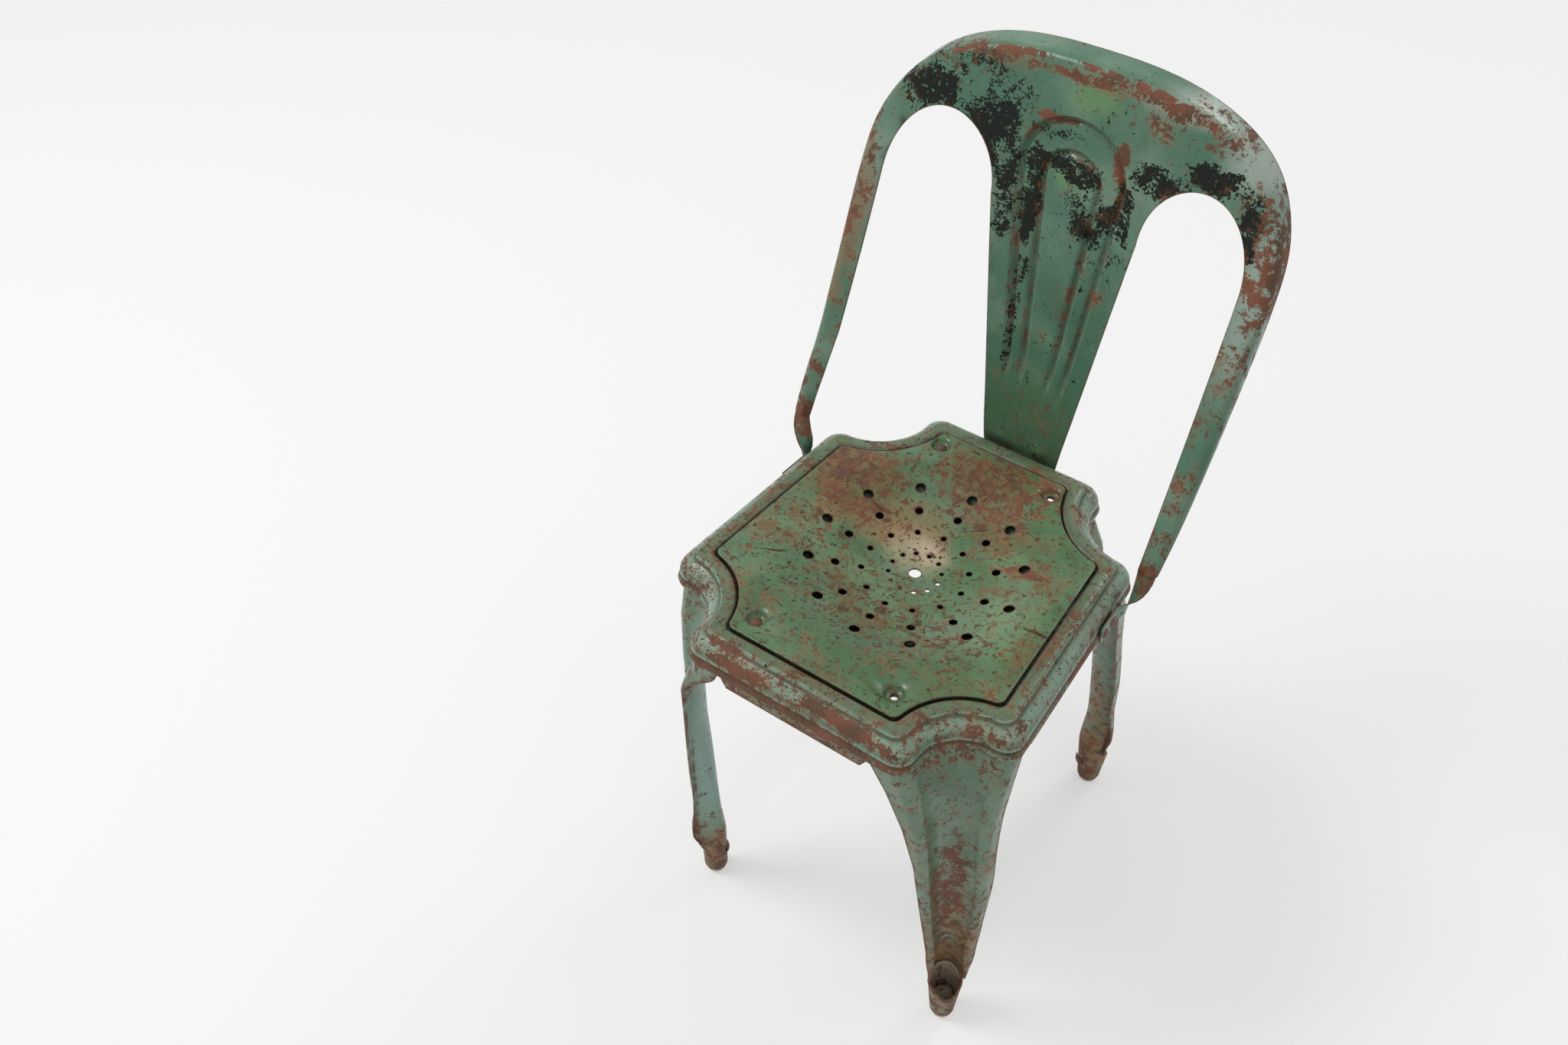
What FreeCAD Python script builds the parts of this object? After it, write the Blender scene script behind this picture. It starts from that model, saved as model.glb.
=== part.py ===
import FreeCAD, Part
import math
import os

# Metal bistro chair of pressed steel sheet, in millimetres, +Z up, front towards -Y.
# Everything is modelled about the seat's centre and set on its origin at the end:
# the middle of the chair's own box, on the floor.

# Sheet and fits
sheet = 1.5
mouth_gap = 1.8
fit_gap = 0.2

# Seat outline, at the edge of the perforated panel
seat_height = 440.0
seat_depth = 307.4
seat_front_width = 295.4
seat_back_width = 256.8
seat_centre_back = -5.0
front_scoop_radius = 68.5
front_scoop_out = (3.8, 7.3)
back_scoop_radius = 79.2
back_scoop_out = (15.4, 9.3)
corner_round = 7.0
corner_round_gain = 0.35

# Seat panel
panel_edge_depth = 6.0
dish_depth = 23.0
dish_radius = 138.0
dish_blend_radius = 105.0
centre_hole_radius = 5.5
ring_radii = (23.5, 47.0, 70.0, 93.6)
ring_hole_radii = (2.1, 2.7, 3.7, 4.7)
ring_hole_count = 12
screw_front = (68.4, 137.2)
screw_back = (57.9, 133.1)
screw_cup_radius = 10.0
screw_cup_floor = 6.0
screw_hole_radius = 3.3

# Seat frame
band_width = 12.5
band_rise = 0.5
shoulder_width = 26.6
shoulder_drop = 19.5
hem_width = 28.0
hem_inside = 24.0
hem_top_drop = 22.0
hem_bottom_drop = 31.0
pan_dish_depth = 27.0
pan_dish_radius = 132.0
pan_blend_radius = 95.0
pan_hole_radius = 18.0

# Rails under the frame's hem
rail_bottom_drop = 45.0
rail_top_drop = 20.0
rail_chamfer = 5.0
rail_front_length = 144.0
rail_back_length = 112.0
rail_side_front = 90.0
rail_side_back = 62.0

# Legs and feet
leg_top_drop = 21.0
foot_front = (139.3, 134.5)
foot_back = (121.7, 193.0)
foot_radius = 12.0
leg_bottom = 9.0
leg_close_height = 64.0
leg_lip_drop = 16.0
leg_round_top = 15.4
leg_round_bottom = 3.2
leg_stations = (0.0, 0.1, 0.24, 0.4, 0.56, 0.74, 0.88, 1.0)
leg_tapers = (1.0, 0.69, 0.456, 0.31, 0.22, 0.1, 0.03, 0.0)
leg_end_arms = (16.0, 14.5, 9.5, 5.0, 4.0, 3.5, 3.5, 3.0)
leg_side_arms = (9.0, 15.0, 15.5, 13.5, 12.5, 10.5, 6.5, 3.0)
leg_collar = 12.0
foot_step = 0.7
foot_wall = 2.0
foot_top = 58.0
foot_edge_round = 5.0
foot_rivet_height = 33.0

# Backrest
back_lean = 0.1225
back_bow = -0.000025
arm_reach = 108.0
arm_reach_height = 320.0
arm_reach_power = 1.2
arm_crest_half = 190.0
splat_flat_half = 40.0
hoop_half_low = 184.0
hoop_half_wide = 189.5
hoop_half_top = 189.0
hoop_wide_height = 180.0
hoop_shoulder_height = 233.0
hoop_height = 363.0
hoop_fullness = 0.75
hoop_depth_low = 7.5
hoop_depth_high = 28.0
hoop_depth_height = 320.0
hoop_roll = 9.0
window_inner_low = 39.5
window_inner_high = 67.6
window_outer_low = 166.5
window_outer_high = 165.0
window_spring_height = 231.0
window_rise = 62.2
splat_bottom_drop = 40.0
splat_rivet_x = 21.0
arm_end_height = 14.0
elbow_start_turn = 60.0
elbow_width = 17.0
elbow_steps = 8
elbow_twist_share = 0.75
tab_width = 17.0
tab_drop = 24.0
tab_rivet_inset = 8.0
tab_back_y = 60.0
tab_front_y = 30.0

# Fasteners
rivet_radius = 3.0
rivet_head_radius = 5.5
rivet_head_height = 2.2
screw_radius = 3.0
screw_head_radius = 5.2
screw_head_height = 2.6
screw_slot = 1.1
nut_across = 10.0
nut_height = 4.5
screw_length = 16.0


def vec(x, y, z=0.0):
    return FreeCAD.Vector(x, y, z)


def unit(v):
    return FreeCAD.Vector(v).normalize()


# Straight edges and corner scoops of the seat's plan
front_y = seat_centre_back - seat_depth / 2
back_y = seat_centre_back + seat_depth / 2
side_run = unit(vec(seat_back_width / 2 - seat_front_width / 2, seat_depth))
side_normal = vec(side_run.y, -side_run.x)
front_corner = vec(seat_front_width / 2, front_y)
back_corner = vec(seat_back_width / 2, back_y)
front_scoop = front_corner + vec(front_scoop_out[0], -front_scoop_out[1])
back_scoop = back_corner + vec(back_scoop_out[0], back_scoop_out[1])


def blend_centre(normal, reach, along, scoop, radius, rounding):
    """Centre of the circle that rounds a straight edge into a corner scoop."""
    inset = reach - rounding - normal.dot(scoop)
    slide = math.sqrt((radius + rounding) ** 2 - inset ** 2)
    return scoop + normal * inset + along * slide


def rounding_arc(centre, normal, scoop, radius, rounding):
    """Edge point, middle point and scoop point of one rounding."""
    on_edge = centre + normal * rounding
    on_scoop = scoop + (centre - scoop) * (radius / (radius + rounding))
    middle = centre + unit((on_edge - centre) + (on_scoop - centre)) * rounding
    return [on_edge, middle, on_scoop]


def scoop_corner(first, second, scoop, radius, rounding):
    """Three arcs of a corner: rounding, hollow scoop, rounding.

    first and second are (outward normal, reach, direction back along the edge).
    """
    start = rounding_arc(blend_centre(*first, scoop, radius, rounding), first[0], scoop, radius, rounding)
    end = rounding_arc(blend_centre(*second, scoop, radius, rounding), second[0], scoop, radius, rounding)
    towards = unit(unit(start[2] - scoop) + unit(end[2] - scoop))
    return [start, [start[2], scoop + towards * radius, end[2]], end[::-1]]


def seat_corners(offset):
    """Front and back corner arcs of the seat's right half, moved out by offset."""
    rounding = max(corner_round + corner_round_gain * offset, 1.0)
    front_edge = (vec(0, -1), -front_y + offset, vec(-1, 0))
    side_reach = side_normal.dot(front_corner) + offset
    side_to_back = (side_normal, side_reach, side_run)
    side_to_front = (side_normal, side_reach, side_run * -1)
    back_edge = (vec(0, 1), back_y + offset, vec(-1, 0))
    front = scoop_corner(front_edge, side_to_back, front_scoop, front_scoop_radius - offset, rounding)
    back = scoop_corner(side_to_front, back_edge, back_scoop, back_scoop_radius - offset, rounding)
    return front, back


def path_edges(runs):
    """Edges through runs of two points (a line) or three points (an arc)."""
    edges = []
    for run in runs:
        if len(run) == 2:
            edges.append(Part.LineSegment(run[0], run[1]).toShape())
        else:
            edges.append(Part.Arc(run[0], run[1], run[2]).toShape())
    return edges


def mirrored(runs):
    return [[vec(-p.x, p.y, p.z) for p in reversed(run)] for run in reversed(runs)]


def seat_outline(offset, drop):
    """Closed outline of the seat, moved out by offset, at a height below the seat's top."""
    front, back = seat_corners(offset)
    right = front + [[front[-1][-1], back[0][0]]] + back
    left = mirrored(right)
    runs = right + [[right[-1][-1], left[0][0]]] + left + [[left[-1][-1], right[0][0]]]
    lift = vec(0, 0, seat_height - drop)
    return Part.Wire(path_edges([[p + lift for p in run] for run in runs]))


def pressing(stations):
    """Solid through seat outlines given as (offset, drop)."""
    return Part.makeLoft([seat_outline(offset, drop) for offset, drop in stations], True, True)


def polygon_face(points):
    return Part.Face(Part.makePolygon(points + [points[0]]))


def turned(points, x=0.0, y=0.0, z=0.0):
    """Solid of revolution about a vertical axis from (radius, height) points."""
    face = polygon_face([vec(r, 0, h) for r, h in points])
    solid = face.revolve(vec(0, 0), vec(0, 0, 1), 360)
    solid.translate(vec(x, y, z))
    return solid


def drill(radius, x, y, bottom, top):
    return Part.makeCylinder(radius, top - bottom, vec(x, y, bottom))


class Dish:
    """Round dish of two tangent arcs, flat beyond its edge."""

    def __init__(self, depth, edge, blend, level):
        self.level = level
        self.edge = edge
        self.angle = 2 * math.atan(depth / edge)
        self.inner = blend / math.sin(self.angle)
        self.outer = (edge - blend) / math.sin(self.angle)
        self.inner_centre = level - depth + self.inner
        self.outer_centre = level - self.outer

    def on_inner(self, angle, below):
        reach = self.inner + below
        return vec(reach * math.sin(angle), 0, self.inner_centre - reach * math.cos(angle))

    def on_outer(self, angle, below):
        reach = self.outer - below
        return vec(self.edge - reach * math.sin(angle), 0, self.outer_centre + reach * math.cos(angle))

    def height(self, radius):
        if radius >= self.edge:
            return self.level
        if radius > self.inner * math.sin(self.angle):
            return self.outer_centre + math.sqrt(self.outer ** 2 - (self.edge - radius) ** 2)
        return self.inner_centre - math.sqrt(self.inner ** 2 - radius ** 2)

    def curve(self, below, hole):
        """The arcs of the surface, or of its underside, from the hole to the edge."""
        start = math.asin(hole / (self.inner + below))
        inner = [self.on_inner(a, below) for a in (start, (start + self.angle) / 2, self.angle)]
        outer = [self.on_outer(a, below) for a in (self.angle, self.angle / 2, 0.0)]
        return [inner, outer]

    def sheet(self, thickness, hole, reach):
        """Solid sheet of the dish from its hole out to a radius."""
        top = self.curve(0.0, hole)
        under = self.curve(thickness, hole)
        top_end = vec(reach, 0, self.level)
        under_end = vec(reach, 0, self.level - thickness)
        runs = top + [[top[-1][-1], top_end], [top_end, under_end], [under_end, under[-1][-1]]]
        runs += [list(reversed(run)) for run in reversed(under)]
        runs.append([under[0][0], top[0][0]])
        face = Part.Face(Part.Wire(path_edges(runs)))
        face.rotate(vec(0, 0), vec(0, 0, 1), 180.0 / ring_hole_count)
        return face.revolve(vec(0, 0), vec(0, 0, 1), 360)

    def above(self, hole, reach, ceiling):
        """Solid of everything above the dish, up to a ceiling."""
        top = self.curve(0.0, hole)
        end = vec(reach, 0, self.level)
        runs = top + [[top[-1][-1], end], [end, vec(reach, 0, ceiling)]]
        runs += [[vec(reach, 0, ceiling), vec(hole, 0, ceiling)], [vec(hole, 0, ceiling), top[0][0]]]
        face = Part.Face(Part.Wire(path_edges(runs)))
        return face.revolve(vec(0, 0), vec(0, 0, 1), 360)


panel_dish = Dish(dish_depth, dish_radius, dish_blend_radius, seat_height)
ledge_level = seat_height - panel_edge_depth
pan_dish = Dish(pan_dish_depth, pan_dish_radius, pan_blend_radius, ledge_level)
screw_places = [(sx * screw_front[0], -screw_front[1]) for sx in (-1, 1)]
screw_places += [(sx * screw_back[0], screw_back[1]) for sx in (-1, 1)]
fitted_screws = [screw_places[0], screw_places[2]]


def make_seat_panel():
    """Dished, perforated panel with a turned-down edge and four screw cups."""
    reach = seat_depth
    skin = pressing([(0.0, dish_depth * 2), (0.0, -1.0)]).common(
        panel_dish.sheet(sheet, centre_hole_radius, reach))
    edge = pressing([(0.0, panel_edge_depth), (0.0, -1.0)]).cut(
        pressing([(-sheet, panel_edge_depth + 1.0), (-sheet, -2.0)]))
    edge = edge.cut(panel_dish.above(centre_hole_radius, reach, seat_height + 5.0))
    panel = skin.fuse(edge)
    for x, y in screw_places:
        level = panel_dish.height(math.hypot(x, y))
        panel = panel.cut(drill(screw_cup_radius, x, y, seat_height - 20.0, seat_height + 5.0))
        floor = ledge_level + sheet
        panel = panel.fuse(turned([
            (screw_cup_radius, level),
            (screw_cup_floor, floor),
            (screw_hole_radius, floor),
            (screw_hole_radius, ledge_level),
            (screw_cup_floor + sheet / 2, ledge_level),
            (screw_cup_radius, level - 2.0),
        ], x, y))
    holes = []
    for ring, hole in zip(ring_radii, ring_hole_radii):
        for index in range(ring_hole_count):
            angle = math.radians(360.0 / ring_hole_count * index)
            x = ring * math.sin(angle)
            y = ring * math.cos(angle)
            holes.append(drill(hole, x, y, seat_height - dish_depth - 10.0, seat_height + 1.0))
    return panel.cut(holes)


def rim_profile():
    """(offset, drop) of the frame's outer face, from the hem up to the flat band."""
    mid_drop = (hem_top_drop + hem_bottom_drop) / 2
    run = shoulder_width - band_width
    return [
        (hem_width - 2.0, hem_bottom_drop),
        (hem_width - 0.6, hem_bottom_drop - 1.4),
        (hem_width, mid_drop),
        (hem_width - 0.7, hem_top_drop + 1.6),
        (shoulder_width - 1.2, hem_top_drop),
        (shoulder_width, shoulder_drop),
        (shoulder_width - run * 0.06, shoulder_drop * 0.72),
        (shoulder_width - run * 0.20, shoulder_drop * 0.49),
        (shoulder_width - run * 0.43, shoulder_drop * 0.31),
        (shoulder_width - run * 0.68, shoulder_drop * 0.22),
        (band_width + run * 0.19, shoulder_drop * 0.16),
        (band_width + run * 0.10, shoulder_drop * 0.03),
        (band_width, -band_rise),
        (mouth_gap + 2.7, -band_rise),
    ]


def cavity_profile():
    """(offset, drop) of the frame's inner face, a sheet's thickness inside the outer one."""
    run = shoulder_width - band_width
    top_drop = sheet - band_rise
    return [
        (hem_inside, hem_bottom_drop + 5.0),
        (hem_inside, shoulder_drop),
        (shoulder_width - sheet - run * 0.12, shoulder_drop * 0.76),
        (shoulder_width - sheet - run * 0.28, shoulder_drop * 0.56),
        (shoulder_width - run * 0.62, shoulder_drop * 0.36),
        (band_width - 0.5, shoulder_drop * 0.24),
        (band_width - sheet, top_drop),
        (mouth_gap + sheet, top_drop),
    ]


def make_seat_frame():
    """Pressed seat frame: stepped rim with a hem, ledge for the panel and a dished pan."""
    rim = pressing(rim_profile()).cut(pressing(cavity_profile()))
    well = pressing([(mouth_gap + sheet, panel_edge_depth + sheet), (mouth_gap + sheet, 0.0)])
    mouth = pressing([
        (mouth_gap, panel_edge_depth),
        (mouth_gap, 1.2),
        (mouth_gap + 0.5, 0.3),
        (mouth_gap + 1.4, -0.3),
        (mouth_gap + 2.7, -band_rise),
        (mouth_gap + 2.7, -band_rise - 1.0),
    ])
    frame = rim.fuse(well).cut(mouth)
    frame = frame.cut(drill(pan_dish_radius + 3.0, 0, 0, seat_height - 60.0, seat_height + 5.0))
    frame = frame.fuse(pan_dish.sheet(sheet, pan_hole_radius, pan_dish_radius + 6.0))
    for x, y in screw_places:
        frame = frame.cut(drill(screw_hole_radius, x, y, seat_height - 60.0, seat_height))
    return frame


def make_rail(first, second, outward, overhang=0.0):
    """Flat strip between two plan points, behind the hem, with chamfered lower ends."""
    low = seat_height - rail_bottom_drop
    high = seat_height - rail_top_drop - overhang
    along = unit(second - first)
    up = vec(0, 0, 1)
    base = first + up * low
    length = (second - first).Length
    face = polygon_face([
        base + along * rail_chamfer,
        base + along * (length - rail_chamfer),
        base + along * length + up * rail_chamfer * 1.6,
        base + along * length + up * (high - low),
        base + up * (high - low),
        base + up * rail_chamfer * 1.6,
    ])
    return face.extrude(outward * -sheet)


def side_point(offset, y):
    """Plan point on the right side line moved out by offset, at a given y."""
    reach = side_normal.dot(front_corner) + offset
    return vec((reach - side_normal.y * y) / side_normal.x, y)


def make_rails():
    front = front_y - hem_inside
    back = back_y + hem_inside
    right = (side_point(hem_inside, -rail_side_front), side_point(hem_inside, rail_side_back))
    side = make_rail(right[0], right[1], side_normal)
    return {
        "rail_front": make_rail(vec(-rail_front_length / 2, front), vec(rail_front_length / 2, front), vec(0, -1)),
        "rail_back": make_rail(vec(-rail_back_length / 2, back), vec(rail_back_length / 2, back), vec(0, 1)),
        "rail_right": side,
        "rail_left": side.mirror(vec(0, 0), vec(1, 0)),
    }


def blend(start, end, share):
    return start + (end - start) * share


class Leg:
    """Tapering gutter, open to its corner, that closes into a tube at the foot.

    Each level is a thin section: an arm along the front or back face, a rounding,
    the hollow of the corner, a rounding, and an arm along the side face.
    """

    def __init__(self, front):
        self.front = front
        way = -1 if front else 1
        foot = foot_front if front else foot_back
        self.scoop = front_scoop if front else back_scoop
        self.radius = (front_scoop_radius if front else back_scoop_radius) - hem_inside
        self.foot = vec(foot[0], way * foot[1])
        self.end_normal = vec(0, way)
        self.end_reach = (-front_y if front else back_y) + hem_inside
        self.side_reach = side_normal.dot(front_corner) + hem_inside
        self.side_away = side_run if front else side_run * -1
        self.tube = foot_radius - sheet

    def section(self, share, taper, end_arm, side_arm, back_off):
        """Runs of one face of the section; back_off moves it to the hidden side."""
        rounding = blend(leg_round_bottom, leg_round_top, taper) - back_off
        radius = blend(self.tube + foot_step, self.radius, taper) + back_off
        scoop = blend(self.scoop, self.foot, share)
        inset = self.tube * 0.88
        end_reach = blend(self.end_reach, self.end_normal.dot(self.foot) + inset, share) - back_off
        side_reach = blend(self.side_reach, side_normal.dot(self.foot) + inset, share) - back_off
        end_edge = (self.end_normal, end_reach, vec(-1, 0))
        side_edge = (side_normal, side_reach, self.side_away)
        corner = scoop_corner(end_edge, side_edge, scoop, radius, rounding)
        start = corner[0][0] + vec(-1, 0) * end_arm
        end = corner[-1][-1] + self.side_away * side_arm
        return [[start, corner[0][0]]] + corner + [[corner[-1][-1], end]]

    def wire(self, index, height):
        """Closed thin section of one station at a height."""
        given = (leg_stations[index], leg_tapers[index], leg_end_arms[index], leg_side_arms[index])
        face = self.section(*given, 0.0)
        hidden = self.section(*given, sheet)
        hidden = [list(reversed(run)) for run in reversed(hidden)]
        runs = face + [[face[-1][-1], hidden[0][0]]] + hidden + [[hidden[-1][-1], face[0][0]]]
        return Part.Wire(path_edges([[p + vec(0, 0, height) for p in run] for run in runs]))

    def solid(self):
        top = seat_height - leg_top_drop - leg_collar
        wires = []
        for index, share in enumerate(leg_stations):
            wires.append(self.wire(index, blend(top, leg_close_height, share)))
        gutter = Part.makeLoft(wires, True, True)
        collar = Part.Face(self.wire(0, top)).extrude(vec(0, 0, leg_collar))
        span = leg_close_height - leg_bottom
        tube = Part.makeCylinder(foot_radius, span, self.foot + vec(0, 0, leg_bottom))
        leg = gutter.fuse([collar, tube])
        leg = leg.cut(Part.makeCylinder(self.tube, span + 1.0, self.foot + vec(0, 0, leg_bottom - 0.5)))
        return leg.cut([self.lip_cut(), self.rivet_hole()])

    def lip_cut(self):
        """Wedge that slopes the tube's lip down towards the corner."""
        outward = unit(unit(vec(0, self.end_normal.y)) + vec(1, 0))
        across = vec(-outward.y, outward.x)
        middle = self.foot + vec(0, 0, leg_close_height) + outward * 2.0
        reach = foot_radius * 2
        start = middle + across * -reach
        face = polygon_face([
            start,
            start + outward * reach + vec(0, 0, -leg_lip_drop * reach / foot_radius),
            start + outward * reach + vec(0, 0, 1.0),
            start + vec(0, 0, 1.0),
        ])
        return face.extrude(across * (2 * reach))

    def foot_sleeve(self):
        """Turned steel foot inside the leg's tube, rounded where it meets the floor."""
        outer = self.tube
        inner = outer - foot_wall
        curve = foot_edge_round * math.sqrt(0.5)
        runs = [
            [vec(0, 0, 0), vec(outer - foot_edge_round, 0, 0)],
            [vec(outer - foot_edge_round, 0, 0),
             vec(outer - foot_edge_round + curve, 0, foot_edge_round - curve),
             vec(outer, 0, foot_edge_round)],
            [vec(outer, 0, foot_edge_round), vec(outer, 0, foot_top)],
            [vec(outer, 0, foot_top), vec(inner, 0, foot_top)],
            [vec(inner, 0, foot_top), vec(inner, 0, foot_edge_round)],
            [vec(inner, 0, foot_edge_round), vec(0, 0, foot_edge_round)],
            [vec(0, 0, foot_edge_round), vec(0, 0, 0)],
        ]
        sleeve = Part.Face(Part.Wire(path_edges(runs))).revolve(vec(0, 0), vec(0, 0, 1), 360)
        sleeve.translate(self.foot)
        return sleeve

    def inward(self):
        return unit(vec(-1, -self.end_normal.y))

    def rivet(self):
        """Domed rivet through the tube's inner side and the foot's wall."""
        start = self.foot + self.inward() * (self.tube - foot_wall - 1.0)
        return rivet(start + vec(0, 0, foot_rivet_height), self.inward(), foot_wall + sheet + 1.0 + 0.3)

    def rivet_hole(self):
        start = self.foot + vec(0, 0, foot_rivet_height)
        return Part.makeCylinder(rivet_radius, foot_radius * 2, start, self.inward())


def domed(radius, height, seat, direction):
    """Domed head of a radius and height that stands on seat."""
    sphere_radius = (radius ** 2 + height ** 2) / (2 * height)
    ball = Part.makeSphere(sphere_radius, seat + direction * (height - sphere_radius))
    return ball.common(Part.makeCylinder(radius + 1.0, height + 1.0, seat, direction))


def rivet(start, direction, grip):
    """Shank from start along direction, then a domed head."""
    shank = Part.makeCylinder(rivet_radius, grip, start, direction)
    return shank.fuse(domed(rivet_head_radius, rivet_head_height, start + direction * grip, direction))


def double_rivet(start, direction, grip):
    """Rivet with a domed head at each end of its grip."""
    return rivet(start, direction, grip).fuse(domed(rivet_head_radius, rivet_head_height, start, direction * -1))


splat_y = back_y + hem_width + 0.05


def back_y_at(x, rise):
    """Front face of the backrest: leaning, and stepping forward to the arms."""
    share = max(0.0, 1.0 - rise / arm_reach_height)
    across = min(max(abs(x) - splat_flat_half, 0.0) / (arm_crest_half - splat_flat_half), 1.0)
    forward = arm_reach * share ** arm_reach_power * (1.0 - math.cos(math.pi * across)) / 2
    above = max(0.0, rise)
    return splat_y + back_lean * above + back_bow * above ** 2 - forward


def hoop_depth_at(rise):
    """Depth of the hoop's turned-back edge, growing upwards from the arm's end."""
    share = min(max(rise - arm_end_height, 0.0) / (hoop_depth_height - arm_end_height), 1.0)
    return blend(hoop_depth_low, hoop_depth_high, share)


def back_slab(start, depth):
    """Slab whose front face is the backrest's surface moved back by start(rise)."""
    columns = 33
    rows = 19
    low = -72.0
    high = low + (hoop_height + 102.0)
    half = hoop_half_top + 25.0
    grid = []
    for i in range(columns):
        x = -half + 2 * half * i / (columns - 1)
        line = []
        for j in range(rows):
            rise = low + (high - low) * j / (rows - 1)
            line.append(vec(x, back_y_at(x, rise) + start(rise), seat_height + rise))
        grid.append(line)
    surface = Part.BSplineSurface()
    surface.interpolate(grid)
    return surface.toShape().extrude(vec(0, depth, 0))


def hoop_half(rise):
    """Half width of the hoop up to its shoulder, widest part way up."""
    if rise < hoop_wide_height:
        share = (hoop_wide_height - rise) / hoop_wide_height
        return hoop_half_wide - (hoop_half_wide - hoop_half_low) * share ** 2
    share = (rise - hoop_wide_height) / (hoop_shoulder_height - hoop_wide_height)
    return hoop_half_wide - (hoop_half_wide - hoop_half_top) * share ** 2


def hoop_prism(inset):
    """Prism of the hoop's outline, drawn in by inset, from the splat's bottom upwards."""
    points = []
    for index in range(4):
        rise = blend(-splat_bottom_drop, hoop_shoulder_height, index / 4.0)
        points.append((hoop_half(rise) - inset, rise))
    for index in range(7):
        angle = math.pi / 2 * index / 7.0
        half = (hoop_half_top - inset) * math.cos(angle) ** hoop_fullness
        crown = hoop_height - inset - hoop_shoulder_height
        points.append((half, hoop_shoulder_height + crown * math.sin(angle)))
    outline = [vec(x, -100, seat_height + rise) for x, rise in points]
    outline.append(vec(0, -100, seat_height + hoop_height - inset))
    outline += [vec(-x, -100, seat_height + rise) for x, rise in reversed(points)]
    curve = Part.BSplineCurve()
    curve.interpolate(outline)
    base = Part.LineSegment(outline[-1], outline[0])
    face = Part.Face(Part.Wire([curve.toShape(), base.toShape()]))
    return face.extrude(vec(0, 500, 0))


def rolled(start, depth, inset, radius):
    """Slab cut to the hoop's outline, with the front edge of the hoop rounded."""
    body = back_slab(lambda rise: start, depth).common(hoop_prism(inset)).Solids[0]
    front = []
    for edge in body.Edges:
        middle = edge.valueAt((edge.FirstParameter + edge.LastParameter) / 2)
        level = back_y_at(middle.x, middle.z - seat_height) + start
        if abs(middle.y - level) < 1.0 and middle.z > seat_height - splat_bottom_drop + 1.0:
            front.append(edge)
    return body.makeFillet(radius, front)


def window_prism():
    """Prism of the right window, open below, with the arm's end cleared as well."""
    springing = seat_height + window_spring_height
    middle = (window_outer_high + window_inner_high) / 2
    half = (window_outer_high - window_inner_high) / 2
    arm_end = seat_height + arm_end_height
    bottom = seat_height - splat_bottom_drop - 20.0
    share = (window_spring_height + splat_bottom_drop + 20.0) / window_spring_height
    inner_bottom = blend(window_inner_high, window_inner_low, share)
    arch = []
    count = 12
    for index in range(count + 1):
        angle = math.pi * index / count
        arch.append(vec(middle + half * math.cos(angle), -100, springing + window_rise * math.sin(angle)))
    curve = Part.BSplineCurve()
    curve.interpolate(arch)
    corners = [
        arch[-1],
        vec(inner_bottom, -100, bottom),
        vec(hoop_half_top + 40, -100, bottom),
        vec(hoop_half_top + 40, -100, arm_end),
        vec(window_outer_low, -100, arm_end),
        arch[0],
    ]
    edges = [curve.toShape()] + Part.makePolygon(corners).Edges
    face = Part.Face(Part.Wire(edges))
    return face.extrude(vec(0, 500, 0))


def curled_strip(middle, across, up, start_angle, turn, width):
    """Thin section of a strip that curls by turn, in the plane of across and up."""
    steps = 6
    front = [vec(0, 0)]
    for index in range(steps):
        angle = start_angle + turn * (index + 0.5) / steps
        front.append(front[-1] + vec(math.cos(angle), math.sin(angle)) * (width / steps))
    back = []
    for index, point in enumerate(front):
        angle = start_angle + turn * index / steps + math.pi / 2
        back.append(point + vec(math.cos(angle), math.sin(angle)) * sheet)
    centre = front[steps // 2]
    corners = [middle + across * (p.x - centre.x) + up * (p.y - centre.y) for p in front + back[::-1]]
    return Part.makePolygon(corners + [corners[0]])


def tab_point(y):
    """Point of the right tab's inner face."""
    return side_point(hem_width + fit_gap / 4, y) + vec(0, 0, seat_height - tab_drop)


def make_arm_end():
    """Right elbow: the arm flattens and twists down and forward into a tab on the frame."""
    inner_y = back_y_at(window_outer_low, arm_end_height)
    slope = math.atan2(back_y_at(window_outer_low + 5.0, arm_end_height) - inner_y, 5.0)
    start_turn = elbow_start_turn * math.pi / 180
    angle = slope + start_turn / 4
    start = vec(window_outer_low, inner_y, seat_height + arm_end_height)
    start += vec(math.cos(angle), math.sin(angle)) * (elbow_width / 2)
    tab = tab_point(tab_back_y)
    wires = []
    for index in range(elbow_steps + 1):
        share = index / elbow_steps
        tilt = math.pi / 2 * share
        middle = vec(
            blend(start.x, tab.x, share ** 1.3),
            blend(start.y, tab.y, blend(1.0 - math.cos(tilt), share, 0.3)),
            blend(start.z, tab.z, math.sin(tilt)),
        )
        twist = min(share / elbow_twist_share, 1.0)
        turn = blend(start_turn, 0.0, twist)
        heading = blend(slope, -math.pi / 2, twist)
        across = blend(vec(1, 0), side_normal, share)
        up = vec(0, math.cos(tilt), -math.sin(tilt))
        wires.append(curled_strip(middle, across, up, heading, turn, blend(elbow_width, tab_width, share)))
    elbow = Part.makeLoft(wires, True, True)
    flat = Part.Face(wires[-1]).extrude(tab_point(tab_front_y) - tab)
    return elbow.fuse(flat)


def rivet_spots():
    """Start point, direction and grip of the rivets that hold the backrest."""
    level = seat_height - (hem_top_drop + hem_bottom_drop) / 2
    inside = hem_inside - sheet
    spots = []
    for x in (-splat_rivet_x, splat_rivet_x):
        spots.append((vec(x, back_y + inside, level), vec(0, 1), splat_y + sheet - back_y - inside))
    grip = hem_width + fit_gap / 4 + sheet - inside
    for y in (tab_front_y + tab_rivet_inset, tab_back_y - tab_rivet_inset):
        right = side_point(inside, y) + vec(0, 0, level)
        spots.append((right, side_normal, grip))
        spots.append((vec(-right.x, right.y, right.z), vec(-side_normal.x, side_normal.y), grip))
    return spots


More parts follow.
